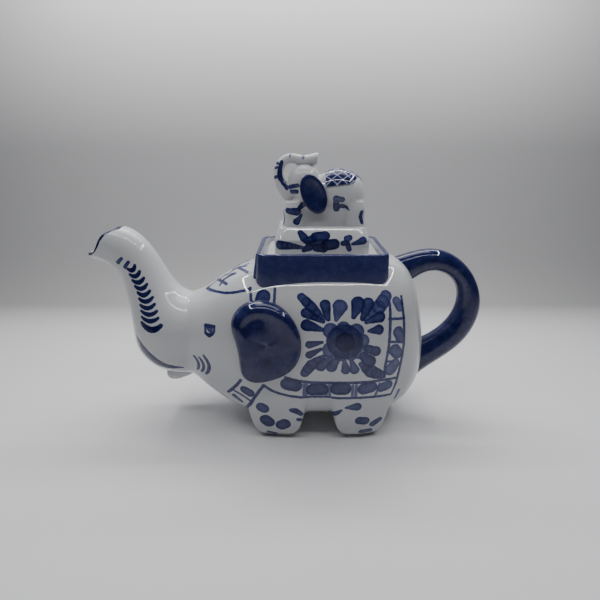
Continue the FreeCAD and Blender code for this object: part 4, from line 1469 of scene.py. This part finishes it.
@dataclass
class SmallElephant:
    """The small elephant on the lid, with its trunk thrown up and back over its brow."""

    trunk: tuple[Section, ...] = (
        Section((3, 136), (9, 148), 5.0),
        Section((-2.4, 140.6), (4.4, 149.6), 4.6),
        Section((-6.2, 147), (0.4, 151), 3.8),
        Section((-8.2, 154), (-2.2, 154.6), 3.1),
        Section((-7, 161.6), (-1.9, 158.8), 2.9),
        Section((-1.8, 166.2), (0.4, 160.9), 2.7),
        Section((4.2, 166.8), (4, 161.2), 2.7),
        Section((9, 165), (7.6, 159.4), 2.8),
        Section((13.6, 166.2), (13.4, 159.8), 3.4),
        Section((17.8, 167.2), (17.4, 160), 3.6),
    )

    def make_body(self) -> bpy.types.Object:
        """Joins the rounded masses of the figure and melts them into one skin."""
        masses = (
            ((29, 0, 145.6), (15.2, 11, 12.2), 0),
            ((37, 0, 144), (7.4, 10.6, 12), 0),
            ((14, 0, 143.4), (11.4, 10, 12), 0),
            ((9.8, 0, 151.6), (9.4, 8.4, 9.6), -20),
            ((5.6, 0, 147), (6.5, 6.8, 6.5), 0),
        )
        parts = [self._mass(middle, radii, turn) for middle, radii, turn in masses]
        for x, spread in ((3.4, 6.4), (39, 6.2)):
            for side in (-1, 1):
                parts.append(self._leg(x, side * spread))
        parts.append(self._web())
        Bench.clear()
        for part in parts:
            part.select_set(True)
        bpy.context.view_layer.objects.active = parts[0]
        bpy.ops.object.join()
        piece = bpy.context.object
        piece.name = piece.data.name = "small_elephant"
        apply(piece, "REMESH", mode="VOXEL", voxel_size=0.55 * MM, adaptivity=0)
        apply(piece, "SMOOTH", factor=0.6, iterations=7)
        bpy.ops.object.shade_smooth()
        return piece

    def _mass(self, middle: tuple, radii: tuple, turn: float) -> bpy.types.Object:
        """One rounded mass: a ball stretched to its radii and turned about its middle.

        Args:
            middle: its middle, in millimetres.
            radii: its half lengths along X, Y and Z.
            turn: how far it is turned, in degrees.

        Returns:
            The mass.
        """
        Bench.clear()
        bpy.ops.mesh.primitive_ico_sphere_add(subdivisions=4, radius=MM)
        ball = Bench("mass")
        ball.scale(*radii, about=(0, 0, 0))
        ball.turn(turn, (0, 0, 0))
        ball.move(*middle)
        return ball.finish()

    def _leg(self, x: float, y: float) -> bpy.types.Object:
        """A short leg, sunk into the plinth below and into the body above."""
        Bench.clear()
        bpy.ops.mesh.primitive_cylinder_add(vertices=24, radius=5.4 * MM, depth=4 * MM)
        leg = Bench("leg")
        leg.fit((x - 6, y - 5.6, 125), (x + 6, y + 5.6, 128))
        leg.pick(Select.FACES, lambda p, n: n.z > 0.9)
        for height, radius in ((131, 5.4), (136.5, 5.8), (141, 4.6)):
            leg.draw(z=1)
            leg.fit((x - radius, y - radius, height), (x + radius, y + radius, height))
        return leg.finish()

    def _web(self) -> bpy.types.Object:
        """The porcelain that fills the gap between the fore and hind legs."""
        Bench.clear()
        bpy.ops.mesh.primitive_cube_add(size=MM)
        web = Bench("web")
        web.fit((2, -7.6, 125), (40, 7.6, 140))
        bpy.ops.mesh.bevel(offset=2 * MM, segments=3, affect="EDGES")
        return web.finish()

    def make_trunk(self) -> bpy.types.Object:
        """Draws the raised trunk, closed at both ends."""
        form = DrawnForm("small_trunk", self.trunk, points=12)
        bpy.ops.mesh.fill_grid()
        form.close_start()
        piece = form.finish()
        smooth_out(piece, 2)
        return piece

    def make_ear(self, side: int) -> bpy.types.Object:
        """A dished oval flap that lies against the shoulder."""
        Bench.clear()
        bpy.ops.mesh.primitive_circle_add(
            vertices=16, radius=MM, fill_type="NGON", rotation=(math.radians(90), 0, 0)
        )
        flap = Bench("small_right_ear" if side < 0 else "small_left_ear")
        flap.scale(6.4, 1, 10.6, (0, 0, 0))
        for grow, rise in ((1.12, 1.4), (0.97, 1.0), (0.82, 0.2), (0.7, -0.7), (0.4, -0.3)):
            flap.draw(y=side * rise)
            flap.scale(grow, 1, grow, (0, 0, 0))
        bpy.ops.mesh.poke()
        bpy.ops.mesh.select_all(action="SELECT")
        flap.turn(-22, (0, 0, 0))
        flap.move(14.9, side * 8.6, 144.9)
        piece = flap.finish()
        smooth_out(piece, 2)
        return piece

    def make_saddle(self) -> bpy.types.Object:
        """A cloth cut from a skin just over the back, with a little thickness."""
        Bench.clear()
        bpy.ops.mesh.primitive_uv_sphere_add(segments=64, ring_count=48, radius=MM)
        cloth = Bench("saddle_cloth_form")
        cloth.scale(15.9, 11.7, 12.8, (0, 0, 0))
        cloth.move(29, 0, 145.8)
        for place, normal in (
            ((21.6, 0, 150), (-1, 0, 0)),
            ((42, 0, 146), (1, 0, -0.35)),
            ((30, 0, 150.2), (0.12, 0, -1)),
        ):
            bpy.ops.mesh.select_all(action="SELECT")
            bpy.ops.mesh.bisect(
                plane_co=mm(*place), plane_no=Vector(normal), clear_outer=True, use_fill=False
            )
        piece = cloth.finish()
        apply(piece, "SOLIDIFY", thickness=1.4 * MM, offset=-1)
        bpy.ops.object.shade_smooth_by_angle(angle=math.radians(50))
        return piece


# ---------------------------------------------------------------- the studio


@dataclass
class Studio:
    """A pale floor that sweeps up behind the pot, a frame of bright strips overhead, and the camera.

    Attributes:
        target: the place that the camera looks at.
        distance: how far the camera is from it.
        pitch: how far the camera looks down, in degrees.
        lens: the camera's focal length.
        reach: how far the paper goes forward and to the sides.
        bend: y where the paper starts to rise.
        rises: each next part of the paper's rise, as its run in y and z.
        painted_shade_tones: painted shade and light on the paper: a height as a share of
            painted_shade_height, and its grey.
        painted_shade_height: the height over which the painted grey changes.
        frame_height: height of the strips.
        frame_half: half length and half width of the frame that they make.
        frame_y: the middle of that frame in y.
        strip: the width of a strip.
    """

    target: tuple[float, float, float] = (7.3, 0.0, 79.2)
    distance: float = 281.5
    pitch: float = 19.0
    lens: float = 27.0
    reach: float = 900
    bend: float = 90
    rises: tuple[tuple[float, float], ...] = ((60, 4), (40, 22), (24, 60), (12, 120), (3, 500))
    # painted shade and light on the backdrop: dark just above the floor and behind the pot, light again
    # towards the top
    painted_shade_tones: tuple[tuple[float, float], ...] = (
        (0.0, 0.86), (0.008, 0.56), (0.04, 0.38), (0.42, 0.38), (0.75, 0.74),
    )
    painted_shade_height: float = 400
    frame_height: float = 390
    frame_half: tuple[float, float] = (230, 150)
    frame_y: float = -10
    strip: float = 7

    def make(self) -> None:
        """Sets up the floor, the lights and the camera."""
        self._camera()
        self._floor()
        self._lights()

    def _camera(self) -> None:
        """Sets the camera a little above the pot, looking down at its right flank."""
        data = bpy.data.cameras.new("camera")
        data.lens = self.lens
        data.clip_start = 0.01
        camera = bpy.data.objects.new("camera", data)
        pitch = math.radians(self.pitch)
        back = Vector((0, -math.cos(pitch), math.sin(pitch))) * self.distance * MM
        camera.location = mm(*self.target) + back
        camera.rotation_euler = (math.radians(90) - pitch, 0, 0)
        bpy.context.scene.collection.objects.link(camera)
        bpy.context.scene.camera = camera

    def _floor(self) -> None:
        """A sheet of pale paper that lies flat under the pot and sweeps up close behind it."""
        Bench.clear()
        bpy.ops.mesh.primitive_plane_add(size=1)
        sweep = Bench("sweep")
        sweep.fit((-self.reach, -self.reach, 0), (self.reach, self.bend, 0))
        sweep.pick(Select.POINTS, lambda p, n: p.y > 0)
        for y, z in self.rises:
            bpy.ops.mesh.extrude_edges_move(TRANSFORM_OT_translate={"value": mm(0, y, z)})
        piece = sweep.finish()
        smooth_out(piece, 3)
        piece.data.materials.append(self._paper_with_painted_shade())

    def _paper_with_painted_shade(self) -> bpy.types.Material:
        """Matt paper with painted shade and light: white on the floor, painted greyer behind the pot and
        painted lighter again towards the top.
        """
        paper = bpy.data.materials.new("backdrop paper with painted shade")
        paper.use_nodes = True
        shader = paper.node_tree.nodes["Principled BSDF"]
        shader.inputs["Roughness"].default_value = 0.6
        web = Web(paper.node_tree)
        height = web.split(web.node("ShaderNodeTexCoord").outputs["Object"])[2]
        # the ramp paints shade and light onto the paper by height
        grey = web.node("ShaderNodeValToRGB")
        web.feed(grey.inputs["Fac"], web.math("DIVIDE", height, self.painted_shade_height * MM, clamp=True))
        stops = grey.color_ramp.elements
        for (at, tone), stop in zip(self.painted_shade_tones, [*stops] + [stops.new(0.5) for _ in self.painted_shade_tones[2:]]):
            stop.position = at
            stop.color = (tone, tone, tone * 1.02, 1)
        web.feed(shader.inputs["Base Color"], grey.outputs["Color"])
        return paper

    def _lights(self) -> None:
        """One soft panel overhead, a wide frame of bright strips below it, and dim walls."""
        world = bpy.data.worlds.new("studio")
        world.use_nodes = True
        world.node_tree.nodes["Background"].inputs["Color"].default_value = (0.62, 0.64, 0.68, 1)
        world.node_tree.nodes["Background"].inputs["Strength"].default_value = 0.06
        bpy.context.scene.world = world
        self._panel("overhead", (0, 90, 430), (0, 90, 0), (320, 200), 0.55)
        half_x, half_y = self.frame_half
        for name, x, y, size, power in (
            ("strip front", 0, self.frame_y - half_y, (2 * half_x, self.strip), 0.4),
            ("strip back", 0, self.frame_y + half_y, (2 * half_x, self.strip), 0.7),
            ("strip left", -half_x, self.frame_y, (self.strip, 2 * half_y), 0.5),
            ("strip right", half_x, self.frame_y, (self.strip, 2 * half_y), 0.5),
        ):
            self._panel(name, (x, y, self.frame_height), (x, y, 0), size, power)

    def _panel(self, name: str, at: tuple, to: tuple, size: tuple, power: float) -> None:
        """Hangs a rectangular light.

        Args:
            name: the light's name.
            at: its place, in millimetres.
            to: the place that it faces.
            size: its length and width.
            power: its power in watts.
        """
        data = bpy.data.lights.new(name, "AREA")
        data.shape = "RECTANGLE"
        data.size, data.size_y = size[0] * MM, size[1] * MM
        data.energy = power
        lamp = bpy.data.objects.new(name, data)
        lamp.location = mm(*at)
        facing = Vector(to) - Vector(at)
        lamp.rotation_euler = facing.to_track_quat("-Z", "Y").to_euler()
        bpy.context.scene.collection.objects.link(lamp)


def install(
    piece: bpy.types.Object,
    body: str,
    nodes: tuple[str, ...],
    finish: Optional[bpy.types.Material],
) -> None:
    """Gives a piece its finish and its body, hides the CAD nodes that it stands for, and reports it.

    Args:
        piece: the finished mesh.
        body: the CAD body that it rides on.
        nodes: the CAD nodes that it stands for.
        finish: its material, or None where it already has its own.
    """
    if finish:
        piece.data.materials.clear()
        piece.data.materials.append(finish)
    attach(piece, body)
    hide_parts(*nodes)
    log.info("%s: %d faces, for %s", piece.name, len(piece.data.polygons), ", ".join(nodes))


def main() -> None:
    """Builds every piece in order, dresses it, and sets up the studio."""
    logging.basicConfig(level=logging.INFO, format="%(message)s")
    groups = Groups()
    white = Porcelain("plain white glaze").make(groups)
    blue = Porcelain("solid cobalt glaze", wash=1.4, streaks=0.5, specks=0.0).make(groups)
    # a darker copy of the solid cobalt for the handle and the ears: partly deeper cobalt, partly painted
    # shade
    deep_and_shaded_blue = Porcelain("darker cobalt glaze with painted shade", wash=1.75, streaks=0.9, specks=0.0).make(groups)
    bare = Porcelain("bare ground porcelain", gloss=0.5, wave=0.02).make(groups)

    casting = PotCasting()
    pot = casting.make()
    casting.dress(pot, groups)
    install(
        pot, POT,
        ("pot_body", "front_right_leg", "front_left_leg", "rear_right_leg", "rear_left_leg", "trunk_spout"),
        None,
    )
    install(LowerLip().make(), POT, ("lower_lip",), white)
    install(LoopHandle().make(), POT, ("handle",), deep_and_shaded_blue)
    install(Ear(-1).make(pot), POT, ("right_ear",), deep_and_shaded_blue)
    install(Ear(1).make(pot), POT, ("left_ear",), deep_and_shaded_blue)
    collar = Collar()
    box = collar.make()
    collar.dress(box, blue, white)
    install(box, POT, ("howdah_collar",), None)

    lid = Lid()
    install(lid.make_plate(), LID, ("lid_plate",), white)
    plinth = lid.make_plinth()
    painted = Porcelain("painted plinth").make(groups, Brush(plinth).lay(PLINTH_PAINTING))
    install(plinth, LID, ("lid_plinth",), painted)
    figure = SmallElephant()
    body = figure.make_body()
    painted = Porcelain("painted small elephant").make(groups, Brush(body).lay(SMALL_BODY_PAINTING))
    install(body, LID, ("finial_body",), painted)
    trunk = figure.make_trunk()
    painted = Porcelain("painted small trunk").make(groups, Brush(trunk).lay(SMALL_TRUNK_PAINTING))
    install(trunk, LID, ("finial_trunk",), painted)
    install(figure.make_ear(-1), LID, ("finial_right_ear",), deep_and_shaded_blue)
    install(figure.make_ear(1), LID, ("finial_left_ear",), deep_and_shaded_blue)
    saddle = SaddlePorcelain("saddle lattice", wash=1.7).make(groups)
    install(figure.make_saddle(), LID, ("finial_saddle_cloth",), saddle)

    for node, finish in (("spout_strainer", white), ("lid_flange", bare)):
        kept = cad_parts[node]
        kept.data.materials.clear()
        kept.data.materials.append(finish)
        log.info("%s: kept, with %s", node, finish.name)
    Studio().make()


if __name__ == "__main__":
    main()
